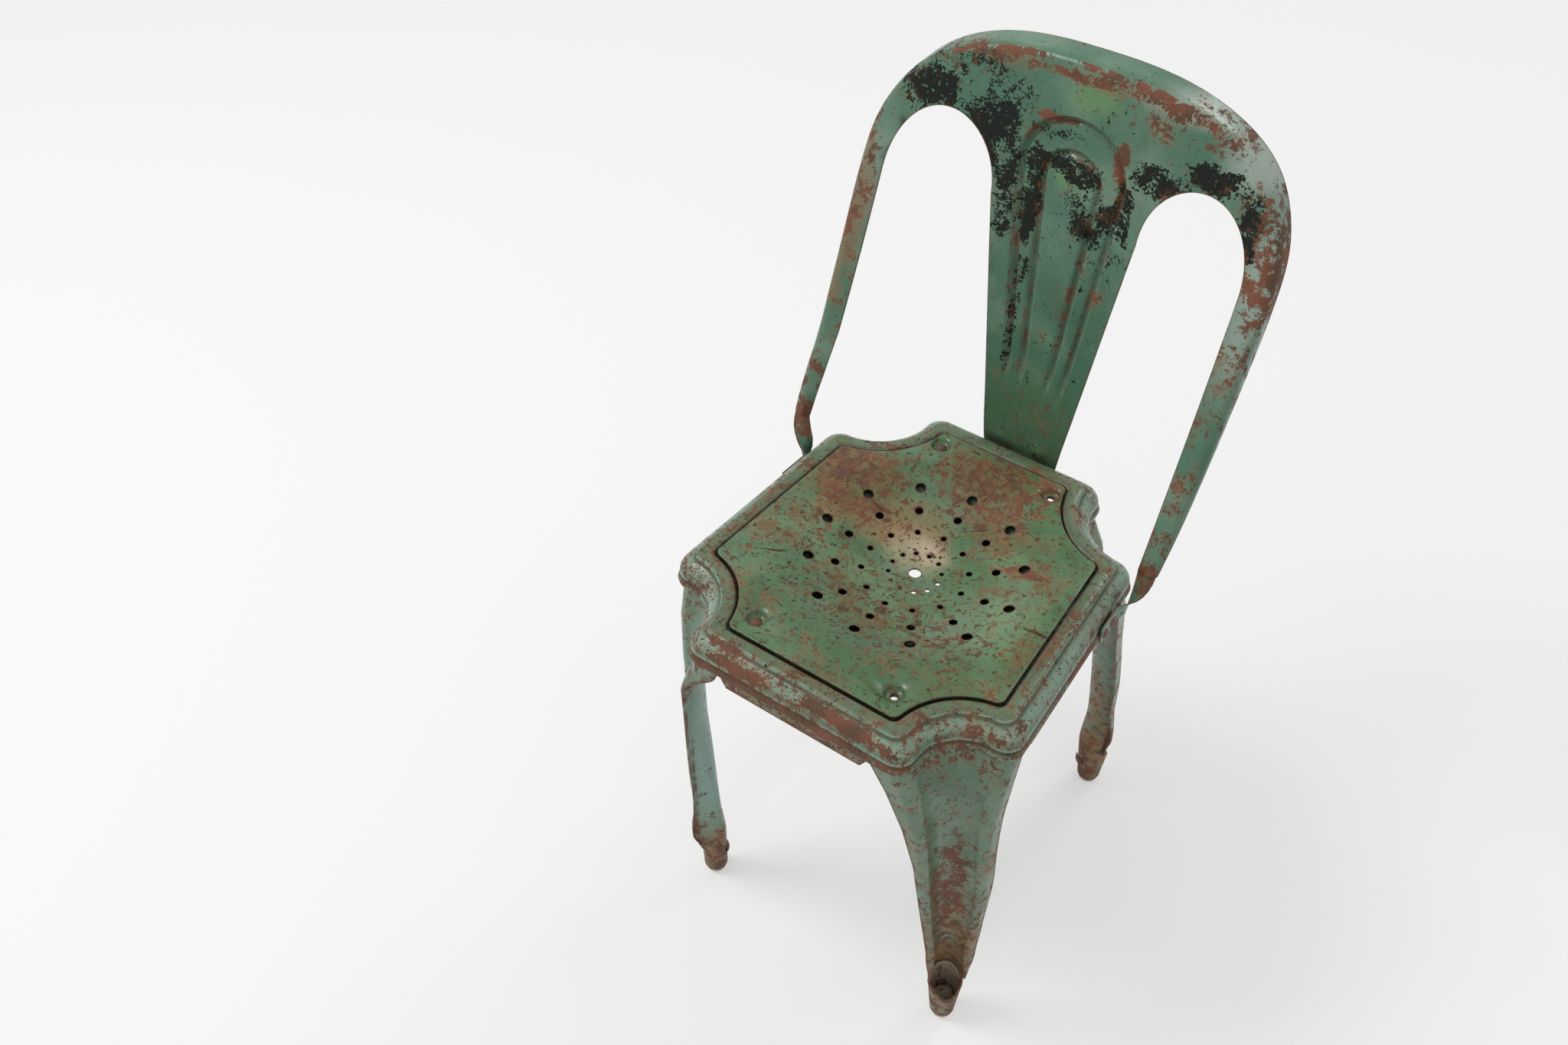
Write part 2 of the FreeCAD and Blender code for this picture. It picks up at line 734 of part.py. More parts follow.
def rivet_holes():
    holes = []
    for start, direction, grip in rivet_spots():
        holes.append(Part.makeCylinder(rivet_radius, grip + 4.0, start - direction * 2.0, direction))
    return holes


def make_backrest():
    """One pressing: hoop with a rolled edge, two windows, splat, arms and tabs."""
    outer = rolled(0.0, hoop_depth_high + 5.0, 0.0, hoop_roll)
    inner = rolled(sheet, hoop_depth_high + 20.0, sheet, hoop_roll - sheet)
    window = window_prism()
    behind = back_slab(hoop_depth_at, hoop_depth_high + 40.0)
    body = outer.cut(inner).cut([window, window.mirror(vec(0, 0), vec(1, 0)), behind])
    arm = make_arm_end()
    body = body.fuse([arm, arm.mirror(vec(0, 0), vec(1, 0))])
    return body.cut(rivet_holes())


def make_screw(x, y):
    """Slotted screw through the panel's cup and the frame's ledge."""
    seat = ledge_level + sheet
    head = domed(screw_head_radius, screw_head_height, vec(x, y, seat), vec(0, 0, 1))
    shank = Part.makeCylinder(screw_radius, screw_length, vec(x, y, seat - screw_length))
    slot = Part.makeBox(screw_head_radius * 3, screw_slot, 2.0)
    slot.translate(vec(x - screw_head_radius * 1.5, y - screw_slot / 2, seat + screw_head_height - 1.1))
    return head.fuse(shank).cut(slot)


def make_nut(x, y):
    """Hexagon nut under the frame's ledge."""
    top = ledge_level - sheet
    corners = []
    for index in range(6):
        angle = math.pi / 3 * index
        reach = nut_across / math.sqrt(3)
        corners.append(vec(x + reach * math.cos(angle), y + reach * math.sin(angle), top - nut_height))
    nut = polygon_face(corners).extrude(vec(0, 0, nut_height))
    return nut.cut(drill(screw_radius, x, y, top - nut_height - 1.0, top + 1.0))


def set_on_origin(pieces):
    """Moves every piece so the chair's box is centred over the origin, on the floor."""
    box = FreeCAD.BoundBox()
    for shape in pieces.values():
        box.add(shape.optimalBoundingBox(False))
    shift = vec(-(box.XMin + box.XMax) / 2, -(box.YMin + box.YMax) / 2, -box.ZMin)
    for shape in pieces.values():
        shape.translate(shift)


def main():
    os.makedirs("parts", exist_ok=True)
    holes = rivet_holes()
    pieces = {
        "seat_panel": make_seat_panel(),
        "seat_frame": make_seat_frame().cut(holes),
        "backrest": make_backrest(),
        "backrest_rivets": Part.makeCompound([double_rivet(*spot) for spot in rivet_spots()]),
        "seat_screws": Part.makeCompound([make_screw(x, y) for x, y in fitted_screws]),
        "seat_nuts": Part.makeCompound([make_nut(x, y) for x, y in fitted_screws]),
    }
    for name, rail in make_rails().items():
        pieces[name] = rail.cut(holes)
    rivets = []
    for name, leg in (("front", Leg(True)), ("back", Leg(False))):
        right = {"leg": leg.solid(), "foot": leg.foot_sleeve().cut(leg.rivet_hole()), "rivet": leg.rivet()}
        for side, flip in (("right", False), ("left", True)):
            placed = {}
            for kind, shape in right.items():
                placed[kind] = shape.mirror(vec(0, 0), vec(1, 0)) if flip else shape.copy()
            pieces["leg_%s_%s" % (name, side)] = placed["leg"]
            pieces["foot_%s_%s" % (name, side)] = placed["foot"]
            rivets.append(placed["rivet"])
    pieces["foot_rivets"] = Part.makeCompound(rivets)
    set_on_origin(pieces)
    for name, shape in pieces.items():
        shape.exportStep("parts/%s.step" % name)


main()
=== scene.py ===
"""Worn green metal bistro chair in a white studio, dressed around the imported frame."""
import math
from functools import cache, partialmethod

import bmesh
import bpy
import numpy as np
from mathutils import Matrix, Vector


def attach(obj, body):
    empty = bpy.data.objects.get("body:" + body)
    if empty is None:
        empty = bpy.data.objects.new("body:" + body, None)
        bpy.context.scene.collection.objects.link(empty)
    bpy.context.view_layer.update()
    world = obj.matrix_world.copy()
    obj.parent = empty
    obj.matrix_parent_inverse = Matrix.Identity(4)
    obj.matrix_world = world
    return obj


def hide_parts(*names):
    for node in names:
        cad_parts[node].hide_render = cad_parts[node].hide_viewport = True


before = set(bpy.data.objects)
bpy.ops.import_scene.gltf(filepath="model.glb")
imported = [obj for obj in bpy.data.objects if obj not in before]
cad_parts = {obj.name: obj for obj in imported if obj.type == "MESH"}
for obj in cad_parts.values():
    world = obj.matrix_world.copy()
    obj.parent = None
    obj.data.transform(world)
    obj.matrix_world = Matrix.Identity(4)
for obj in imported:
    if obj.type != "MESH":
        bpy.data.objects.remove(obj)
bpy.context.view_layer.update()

bl_info = {
    "name": "Worn metal bistro chair",
    "version": (1, 0, 0),
    "blender": (4, 5, 0),
    "location": "3D View > Sidebar > Chair",
    "description": "Paints, presses and lights a worn green sheet-metal chair",
    "category": "Object",
}

MM = 0.001


# Colours, written as the eye reads them and turned into linear light

def tone(red, green, blue):
    """Linear colour of an 8-bit screen colour: each channel follows the screen's own curve."""
    shares = (channel / 255 for channel in (red, green, blue))
    return tuple(share / 12.92 if share <= 0.04045 else ((share + 0.055) / 1.055) ** 2.4
                 for share in shares)


def rgba(colour):
    """The colour with a full alpha, as shader sockets take it."""
    return (*colour[:3], 1.0)


BLACK = (0, 0, 0, 1)
# Near black of the painted shade in the seat frame's pan, under the perforated panel
PAINTED_SHADE_BLACK = (0.004, 0.004, 0.003, 1)
# Dark green of the painted shade on steep faces
DEEP_GREEN = (0.012, 0.014, 0.008, 1)
RUST_PIT = (0.012, 0.009, 0.007, 1)
BARE_STEEL = (0.32, 0.29, 0.26, 1)
DULLING = (0.42, 0.5, 0.42, 1)
WARM_WHITE = (1, 1, 0.995, 1)
FOOT_DUST = tone(150, 136, 117)


# Settings a user would change

def colour_setting(name, description, *channels):
    """A colour whose first value is given by its 8-bit channels."""
    return bpy.props.FloatVectorProperty(name=name, description=description, subtype="COLOR",
                                         size=3, min=0, max=1, default=tone(*channels))


def number_setting(name, description, first, low, high, unit="NONE"):
    """A number with its first value and its limits."""
    return bpy.props.FloatProperty(
        name=name, description=description, default=first, min=low, max=high, unit=unit)


class ChairPaint(bpy.types.PropertyGroup):
    """Colours of the paint and of what shows where it is gone."""

    back_green: colour_setting("Back green", "Blue-green paint of the backrest", 70, 109, 86)
    seat_green: colour_setting("Seat green", "Richer green paint of the seat panel", 78, 112, 74)
    frame_green: colour_setting(
        "Frame green", "Green paint of the seat frame, rails and legs", 90, 118, 93)
    faded_green: colour_setting("Faded green", "Chalky, sun-bleached paint", 124, 148, 126)
    undercoat: colour_setting(
        "Undercoat", "Black coat that shows where the green has flaked off", 22, 26, 20)
    red_rust: colour_setting("Red rust", "Reddish-brown rust of the flaked patches", 112, 67, 47)
    brown_rust: colour_setting("Brown rust", "Old dark rust of the edges and feet", 84, 60, 41)
    fresh_rust: colour_setting(
        "Fresh rust", "Orange halo that fresh rust leaves on the paint round it", 150, 104, 66)
    # Dark brown of the dirt in corners and gaps, which also paints the shade there
    dirt_and_shade: colour_setting("Dirt and shade", "Dark brown dirt in corners and gaps", 54, 44, 27)
    orange_stain: colour_setting("Orange stain", "Rust that has run over the paint", 140, 98, 62)


class ChairSizes(bpy.types.PropertyGroup):
    """Sizes of the pressed marks that the plain solids leave out."""

    groove_depth: number_setting(
        "Groove depth", "How far the splat's two nested grooves are pressed back",
        0.0042, 0, 0.005, "LENGTH")
    groove_width: number_setting(
        "Groove width", "Half width of one pressed groove", 0.0042, 0.001, 0.02, "LENGTH")
    bump_height: number_setting(
        "Bump height", "Height of the two bumps over the splat's rivets",
        0.0011, 0, 0.004, "LENGTH")


class StudioLook(bpy.types.PropertyGroup):
    """Studio and camera."""

    floor_shade: bpy.props.FloatVectorProperty(
        name="Floor shade", description="Colour of the floor and of the backdrop",
        subtype="COLOR", size=3, min=0, max=1, default=(0.86, 0.86, 0.86))
    world_strength: number_setting(
        "World strength", "Light that comes evenly from all round", 0.67, 0, 4)
    key_power: number_setting(
        "Key power", "Power of the large softbox above the left side", 56, 0, 500, "POWER")
    fill_power: number_setting(
        "Fill power", "Power of the softbox behind the chair", 20, 0, 500, "POWER")
    lens: number_setting(
        "Lens", "Focal length in millimetres on a 36 mm wide sensor", 35.1, 10, 200)


# Mesh helpers

def merged_copy(node, name):
    """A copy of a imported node's mesh with its loose triangles merged into one skin."""
    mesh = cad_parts[node].data.copy()
    mesh.name = name
    skin = bmesh.new()
    skin.from_mesh(mesh)
    bmesh.ops.remove_doubles(skin, verts=skin.verts, dist=0.004 * MM)
    skin.to_mesh(mesh)
    skin.free()
    return mesh


def refined(mesh, low, high, longest, rounds):
    """Halves the edges inside a box that are longer than a limit, a number of times."""
    skin = bmesh.new()
    skin.from_mesh(mesh)
    for _ in range(rounds):
        long_edges = [
            edge for edge in skin.edges
            if edge.calc_length() > longest
            and all(low[axis] < (edge.verts[0].co[axis] + edge.verts[1].co[axis]) / 2 < high[axis]
                    for axis in range(3))
        ]
        if not long_edges:
            break
        bmesh.ops.subdivide_edges(skin, edges=long_edges, cuts=1, use_grid_fill=True)
        bmesh.ops.triangulate(skin, faces=[face for face in skin.faces if len(face.verts) > 3])
    skin.to_mesh(mesh)
    skin.free()


def rise(values, low, high):
    """Smooth step from nought at low to one at high, for an array."""
    share = np.clip((values - low) / (high - low), 0, 1)
    return share * share * (3 - 2 * share)


def hump(values, start, full, fade, end):
    """One between full and fade, and a smooth fall to nought at start and end, for an array."""
    return rise(values, start, full) * (1 - rise(values, fade, end))


def placed(name, data):
    """A new object in the scene."""
    thing = bpy.data.objects.new(name, data)
    bpy.context.scene.collection.objects.link(thing)
    return thing


def add_piece(node, name, material, shape, sharp_degrees=32, cuts=()):
    """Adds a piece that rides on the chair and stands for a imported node.

    Its mesh is the node's, merged, refined by the cuts and with its points moved by a formula.
    The shading is smooth and breaks at edges sharper than the given angle.
    """
    mesh = merged_copy(node, name)
    for cut in cuts:
        refined(mesh, *cut)
    flat = np.empty(len(mesh.vertices) * 3)
    mesh.vertices.foreach_get("co", flat)
    mesh.vertices.foreach_set("co", shape(flat.reshape(-1, 3)).ravel())
    mesh.update()
    mesh.shade_smooth()
    mesh.set_sharp_from_angle(angle=math.radians(sharp_degrees))
    mesh.materials.clear()
    mesh.materials.append(material)
    piece = placed(name, mesh)
    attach(piece, "root")
    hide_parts(node)


def dress(node, material):
    """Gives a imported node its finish."""
    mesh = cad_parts[node].data
    if not mesh.materials:
        mesh.materials.append(material)
    for index in range(len(mesh.materials)):
        mesh.materials[index] = material


# Shader helpers

class Graph:
    """Places shader nodes in a tree and links them. Noises and groups work in the tree's place."""

    def __init__(self, tree, place=None):
        self.tree = tree
        self.place = place

    def add(self, kind, inputs=None, **settings):
        """One node, with its settings and its inputs given by name or place."""
        node = self.tree.nodes.new("ShaderNode" + kind)
        for key, value in settings.items():
            setattr(node, key, value)
        for key, value in (inputs or {}).items():
            self.feed(node.inputs[key], value)
        return node

    def feed(self, socket, value):
        """Links an output into the socket, or sets the socket's own value."""
        if isinstance(value, bpy.types.NodeSocket):
            self.tree.links.new(value, socket)
        else:
            socket.default_value = value

    def group(self, name, **inputs):
        """The outputs of a placed group."""
        tree = bpy.data.node_groups[name]
        return self.add("Group", {"Vector": self.place, **inputs}, node_tree=tree).outputs

    def maths(self, operation, *values):
        """One step of arithmetic."""
        return self.add("Math", dict(enumerate(values)), operation=operation).outputs[0]

    plus = partialmethod(maths, "ADD")
    minus = partialmethod(maths, "SUBTRACT")
    times = partialmethod(maths, "MULTIPLY")
    most = partialmethod(maths, "MAXIMUM")
    least = partialmethod(maths, "MINIMUM")

    def vectors(self, operation, first, second):
        """One step of vector arithmetic."""
        return self.add("VectorMath", {0: first, 1: second}, operation=operation).outputs[0]

    def step(self, value, low, high, bottom=0.0, top=1.0):
        """A smooth step: bottom below low, top above high."""
        inputs = {"Value": value, "From Min": low, "From Max": high,
                  "To Min": bottom, "To Max": top}
        return self.add("MapRange", inputs, interpolation_type="SMOOTHSTEP").outputs[0]

    def blend(self, share, first, second, way="MIX"):
        """Mixes two colours."""
        return self.add("Mix", {0: share, 6: first, 7: second}, data_type="RGBA",
                        blend_type=way).outputs[2]

    def mix(self, share, first, second):
        """Mixes two numbers."""
        return self.add("Mix", {0: share, 2: first, 3: second}, data_type="FLOAT").outputs[0]

    def noise(self, scale, detail=4.0, roughness=0.5, distortion=0.0, place=None):
        """Fractal noise from nought to one."""
        inputs = {"Vector": self.place if place is None else place, "Scale": scale,
                  "Detail": detail, "Roughness": roughness, "Distortion": distortion}
        return self.add("TexNoise", inputs).outputs[0]

    def result(self, **outputs):
        """Feeds the outputs of the group that the graph fills."""
        inlets = self.tree.nodes.new("NodeGroupOutput").inputs
        for label, value in outputs.items():
            self.feed(inlets[label], value)

    def normal(self):
        """The direction that the surface faces."""
        return self.add("NewGeometry").outputs["Normal"]


SOCKET_KINDS = {1: "NodeSocketFloat", 3: "NodeSocketVector", 4: "NodeSocketColor"}


def new_group(name, inputs, outputs=("Mask",)):
    """An empty shader group that takes a Vector and the given inputs, and the graph to fill it.

    An input's kind follows from its first value. An output is a number, or a colour if so named.
    """
    tree = bpy.data.node_groups.new(name, "ShaderNodeTree")
    for label, value in {"Vector": (0, 0, 0), **inputs}.items():
        kind = SOCKET_KINDS[np.size(value)]
        tree.interface.new_socket(label, in_out="INPUT", socket_type=kind).default_value = value
    for label in outputs:
        kind = SOCKET_KINDS[4 if label == "Color" else 1]
        tree.interface.new_socket(label, in_out="OUTPUT", socket_type=kind)
    given = tree.nodes.new("NodeGroupInput").outputs
    return Graph(tree, given["Vector"]), given


def new_material(name):
    """An empty material and its graph, placed by the object's own coordinates."""
    material = bpy.data.materials.new(name)
    material.use_nodes = True
    material.node_tree.nodes.clear()
    graph = Graph(material.node_tree)
    graph.place = graph.add("TexCoord").outputs["Object"]
    return material, graph


def build_flaking():
    """Flaking: coarse noise with ragged fine noise, cut at a level that falls as Amount grows."""
    graph, given = new_group(
        "Flaking", {"Scale": 40.0, "Amount": 0.3, "Raggedness": 0.35, "Softness": 0.012})
    coarse = graph.noise(given["Scale"], 9.0, 0.6, 0.4)
    fine = graph.noise(graph.times(given["Scale"], 7.0), 6.0, 0.62, 0.6)
    ragged = graph.times(graph.minus(fine, 0.5), given["Raggedness"])
    level = graph.minus(0.78, graph.times(given["Amount"], 0.56))
    low = graph.minus(level, given["Softness"])
    high = graph.plus(level, given["Softness"])
    graph.result(Mask=graph.step(graph.plus(coarse, ragged), low, high))


def build_soft_spot():
    """Soft spot: Weight inside an ellipsoid round Centre, falling to nought past its Reach."""
    graph, given = new_group(
        "Soft spot", {"Centre": (0, 0, 0), "Reach": (0.1, 0.1, 0.1), "Weight": 1.0})
    away = graph.vectors("SUBTRACT", graph.place, given["Centre"])
    share = graph.vectors("DIVIDE", away, given["Reach"])
    length = graph.add("VectorMath", {0: share}, operation="LENGTH").outputs["Value"]
    inside = graph.step(length, 0.35, 1.1, 1.0, 0.0)
    graph.result(Mask=graph.times(inside, given["Weight"]))


def build_edge_wear():
    """Edge wear: how far a bevelled normal leans from the true one, broken up by noise."""
    graph, given = new_group("Edge wear", {"Radius": 0.0025, "Scale": 90.0})
    bevel = graph.add("Bevel", {"Radius": given["Radius"]}, samples=6).outputs[0]
    facing = graph.add("VectorMath", {0: bevel, 1: graph.normal()}, operation="DOT_PRODUCT")
    edge = graph.step(graph.minus(1.0, facing.outputs["Value"]), 0.003, 0.09)
    broken = graph.noise(given["Scale"], 6.0, 0.66)
    graph.result(Mask=graph.times(edge, graph.step(broken, 0.26, 0.6)))


def build_dirt_and_shade():
    """Dirt and shade: dirt that gathers, and painted shade that darkens, where the surface is shut
    in by its neighbours.
    """
    graph, given = new_group("Dirt and shade", {"Distance": 0.014})
    sky = graph.add("AmbientOcclusion", {"Distance": given["Distance"]}, samples=4).outputs["AO"]
    shut = graph.step(sky, 0.3, 0.8, 1.0, 0.0)
    broken = graph.noise(70.0, 5.0, 0.6)
    graph.result(Mask=graph.times(shut, graph.step(broken, 0.25, 0.7)))


def build_crest_wear():
    """Crest wear: a noisy band where a rolled edge starts to turn away from the front."""
    graph, given = new_group("Crest wear", {"Scale": 60.0})
    front = graph.times(graph.add("SeparateXYZ", {0: graph.normal()}).outputs[1], -1.0)
    turning = graph.times(graph.step(front, 0.42, 0.7), graph.step(front, 0.9, 0.975, 1.0, 0.0))
    broken = graph.noise(given["Scale"], 6.0, 0.66, 0.4)
    graph.result(Mask=graph.times(turning, graph.step(broken, 0.4, 0.6)))


def build_scratches():
    """Scratches: noise stretched along one direction and cut high, so only streaks are left."""
    graph, given = new_group("Scratches", {"Angle": 0.0, "Scale": 12.0, "Amount": 0.3})
    warp = graph.add("TexNoise", {"Vector": graph.place, "Scale": 14.0, "Detail": 2.0})
    push = graph.add("VectorMath", {0: warp.outputs["Color"], "Scale": 0.03}, operation="SCALE")
    bent = graph.vectors("ADD", graph.place, push.outputs[0])
    turned = graph.add("VectorRotate", {"Vector": bent, "Angle": given["Angle"]},
                       rotation_type="Z_AXIS").outputs[0]
    stretched = graph.vectors("MULTIPLY", turned, (1.0, 16.0, 3.0))
    streaks = graph.noise(given["Scale"], 3.0, 0.5, place=stretched)
    level = graph.minus(0.82, graph.times(given["Amount"], 0.3))
    graph.result(Mask=graph.step(streaks, level, graph.plus(level, 0.02)))


def build_paint_tone():
    """Paint tone: two greens mixed by broad clouds, with dull patches and a fine dark grain."""
    graph, given = new_group(
        "Paint tone", {"Paint": BLACK, "Faded": BLACK, "Fading": 0.35, "Shading": 0.25}, ["Color"])
    fade = graph.times(graph.step(graph.noise(13.0, 5.0, 0.55, 0.3), 0.42, 0.72), given["Fading"])
    light = graph.blend(fade, given["Paint"], given["Faded"])
    darker = graph.blend(1.0, light, DULLING, "MULTIPLY")
    shade = graph.times(graph.step(graph.noise(31.0, 6.0, 0.6), 0.45, 0.7), given["Shading"])
    mottled = graph.blend(shade, light, darker)
    speck = graph.step(graph.noise(420.0, 3.0, 0.6), 0.58, 0.72, 0.0, 0.18)
    graph.result(Color=graph.blend(speck, mottled, darker))


def build_rust_tone():
    """Rust tone: patches of red and brown rust with dark and orange grains, and their height."""
    graph, given = new_group(
        "Rust tone", {"Red": BLACK, "Brown": BLACK, "Orange": BLACK}, ["Color", "Grain"])
    patches = graph.step(graph.noise(38.0, 6.0, 0.6), 0.4, 0.6)
    base = graph.blend(patches, given["Red"], given["Brown"])
    grains = graph.noise(520.0, 4.0, 0.65)
    lit = graph.blend(graph.step(grains, 0.55, 0.75, 0.0, 0.55), base, given["Orange"])
    dark = graph.step(grains, 0.28, 0.44, 0.5, 0.0)
    graph.result(Color=graph.blend(dark, lit, RUST_PIT), Grain=grains)


# Scale, raggedness and softness of each kind of flake; a look may give its own scale

FLAKES = {
    "stain": (25.0, 0.45, 0.1), "speck": (150.0, 0.5, 0.05), "chip": (44.0, 0.8, 0.007),
    "nick": (230.0, 0.3, 0.02), "rust": (46.0, 0.75, 0.014), "halo": (46.0, 0.4, 0.09),
    "freckle": (125.0, 0.5, 0.015), "trace": (120.0, 0.4, 0.03),
}
WORN_EDGE_SCALE = 75.0
# Share of the dirt and painted shade in corners and gaps
DIRT_AND_SHADE_SHARE = 0.75
EDGE_RUST_GAIN = 0.55
HALO_GAIN = 0.1
# Most that the painted shade in the pan may darken
PAINTED_SHADE_LIMIT = 0.93

# Wear of a look that doesn't give its own

PLAIN_LOOK = {
    "tints": [], "stain_spots": [], "chip_spots": [], "rust_spots": [], "freckle_spots": [],
    "scratches": [], "fresh_rust": 0.3, "freckles": 0.22,
}


class Finishes:
    """The shader groups, built once, and the painted and rusty finishes made with them."""

    def __init__(self, paint):
        self.paint = paint
        for build in (build_flaking, build_soft_spot, build_edge_wear, build_dirt_and_shade,
                      build_crest_wear, build_scratches, build_paint_tone, build_rust_tone):
            build()

    def spots(self, graph, base, places):
        """A base amount plus the soft spots given as centre, reach and weight in millimetres."""
        total = base
        for centre, reach, weight in places:
            spot = graph.group("Soft spot", Centre=[value * MM for value in centre],
                               Reach=[value * MM for value in reach], Weight=weight)
            total = graph.plus(total, spot["Mask"])
        return total

    def flakes(self, graph, kind, amount, scale=None):
        """A mask of flaked places of one kind."""
        usual_scale, raggedness, softness = FLAKES[kind]
        return graph.group("Flaking", Scale=scale or usual_scale, Amount=amount,
                           Raggedness=raggedness, Softness=softness)["Mask"]

    def rust(self, graph):
        """Colour and grain of rust."""
        return graph.group(
            "Rust tone", Red=rgba(self.paint.red_rust), Brown=rgba(self.paint.brown_rust),
            Orange=rgba(self.paint.orange_stain))

    def tinted(self, graph, green, look):
        """The paint's own colour with the look's tints on it, some of them painted highlights and
        shade.
        """
        colour = graph.group(
            "Paint tone", Paint=rgba(green), Faded=rgba(self.paint.faded_green),
            Fading=look["fading"], Shading=look["shading"])["Color"]
        for shade, places in look["tints"]:
            share = graph.least(self.spots(graph, 0.0, places), 1.0)
            colour = graph.blend(share, colour, rgba(shade))
        return colour

    def stains(self, graph, look):
        """How much a stain covers: broad flakes dappled by fine ones."""
        amount = self.spots(graph, look["stain"], look["stain_spots"])
        specks = self.flakes(graph, "speck", graph.plus(amount, 0.1))
        return graph.times(graph.mix(specks, 0.3, 1.0), self.flakes(graph, "stain", amount))

    def chips(self, graph, look):
        """A mask of chipped places: flakes, small nicks and streaks."""
        amount = self.spots(graph, look["chips"], look["chip_spots"])
        mask = graph.most(self.flakes(graph, "chip", amount, look.get("chip_scale")),
                          self.flakes(graph, "nick", look["nicks"]))
        for angle, scale, amount in look["scratches"]:
            streaks = graph.group(
                "Scratches", Angle=math.radians(angle), Scale=scale, Amount=amount)
            mask = graph.most(mask, streaks["Mask"])
        return mask

    def rusted(self, graph, look):
        """Masks of the rusted places and of the fresh halo round them.

        Rust takes the edges, the crest where the look has one, flaked patches and freckles.
        """
        edge = graph.group("Edge wear", Radius=look["edge_radius"] * MM, Scale=WORN_EDGE_SCALE)
        edge = graph.times(edge["Mask"], look["edge_rust"])
        if "crest_rust" in look:
            crest = graph.group("Crest wear")["Mask"]
            share = self.spots(graph, look["crest_rust"], look["crest_spots"])
            edge = graph.most(edge, graph.times(crest, share))
        amount = self.spots(graph, look["rust"], look["rust_spots"])
        amount = graph.plus(amount, graph.times(edge, EDGE_RUST_GAIN))
        patches = self.flakes(graph, "rust", amount, look["rust_scale"])
        freckles = self.spots(graph, look["freckles"], look["freckle_spots"])
        mask = graph.most(graph.most(patches, graph.step(edge, 0.45, 0.8)),
                          self.flakes(graph, "freckle", freckles))
        halo = self.flakes(graph, "halo", graph.plus(amount, HALO_GAIN), look["rust_scale"])
        return mask, graph.times(halo, look["fresh_rust"])

    def shaded(self, graph, colour, look):
        """The colour with painted shade: near black on what faces up inside the painted shade
        spots, and dark green on steep faces.
        """
        upright = graph.add("SeparateXYZ", {0: graph.normal()}).outputs[2]
        if "painted_shade_spots" in look:
            pan_shade = graph.times(self.spots(graph, 0.0, look["painted_shade_spots"]),
                               graph.step(upright, 0.1, 0.3))
            colour = graph.blend(graph.least(pan_shade, PAINTED_SHADE_LIMIT), colour, PAINTED_SHADE_BLACK)
        if "steep_shade" in look:
            steep = graph.step(upright, 0.35, 0.75, look["steep_shade"], 0.0)
            colour = graph.blend(steep, colour, DEEP_GREEN)
        return colour

    def relief(self, graph, chips, rusty, grain):
        """Normal of the film's edges, rust pits, ripple and dents, on slightly round edges."""
        film = graph.minus(1.0, graph.most(chips, rusty))
        pits = graph.times(graph.times(grain, rusty), 0.8)
        ripple = graph.times(graph.noise(260.0, 2.0), 0.12)
        dents = graph.times(graph.noise(24.0, 2.0), 1.6)
        rounded = graph.add("Bevel", {"Radius": 0.9 * MM}, samples=4).outputs[0]
        return graph.add("Bump", {
            "Height": graph.plus(graph.plus(film, pits), graph.plus(ripple, dents)),
            "Strength": 0.55, "Distance": 0.35 * MM, "Normal": rounded}).outputs[0]

    def worn_paint(self, name, green, look):
        """Paint that has faded, stained, flaked to the undercoat and rusted through, with dirt and
        painted shade in corners and gaps and the look's painted highlights and shade.
        """
        look = {**PLAIN_LOOK, **look}
        material, graph = new_material(name)
        stain = self.stains(graph, look)
        chips = self.chips(graph, look)
        rusty, halo = self.rusted(graph, look)
        rust = self.rust(graph)
        layers = (
            (graph.times(stain, look["stain_depth"]),
             rgba(look.get("stain_colour", self.paint.orange_stain))),
            # Dirt and painted shade in corners and gaps, where ambient occlusion finds the surface
            # shut in
            (graph.times(graph.group("Dirt and shade")["Mask"], DIRT_AND_SHADE_SHARE), rgba(self.paint.dirt_and_shade)),
            (chips, rgba(look.get("chip_colour", self.paint.undercoat))),
            (halo, rgba(self.paint.fresh_rust)),
            (rusty, rust["Color"]),
        )
        colour = self.tinted(graph, green, look)
        for share, layer in layers:
            colour = graph.blend(share, colour, layer)
        painted_rough = graph.mix(chips, graph.mix(stain, look["gloss"], 0.5), 0.46)
        shader = graph.add("BsdfPrincipled", {
            "Base Color": self.shaded(graph, colour, look),
            "Roughness": graph.mix(rusty, painted_rough, 0.72),
            "Normal": self.relief(graph, chips, rusty, rust["Grain"]),
            "IOR": 1.46, "Specular IOR Level": graph.mix(chips, 0.5, 0.2)})
        graph.add("OutputMaterial", {"Surface": shader.outputs[0]})
        return material

    def rusty_steel(self, name, traces, amount, shine=0.0):
        """Bare steel with old rust, traces of another colour and polished edges."""
        material, graph = new_material(name)
        rust = self.rust(graph)
        left = self.flakes(graph, "trace", amount)
        edge = graph.group("Edge wear", Radius=0.8 * MM, Scale=200.0)
        polish = graph.times(edge["Mask"], shine)
        colour = graph.blend(left, rust["Color"], rgba(traces))
        bump = graph.add("Bump", {"Strength": 0.6, "Distance": 0.3 * MM, "Height": rust["Grain"]})
        shader = graph.add("BsdfPrincipled", {
            "Base Color": graph.blend(polish, colour, BARE_STEEL),
            "Roughness": graph.mix(left, graph.mix(polish, 0.68, 0.38), 0.45),
            "Metallic": graph.times(polish, 0.8), "Normal": bump.outputs[0]})
        graph.add("OutputMaterial", {"Surface": shader.outputs[0]})
        return material


@cache
def finishes():
    """The one set of finishes, built when it is first asked for."""
    return Finishes(bpy.context.scene.chair_paint)
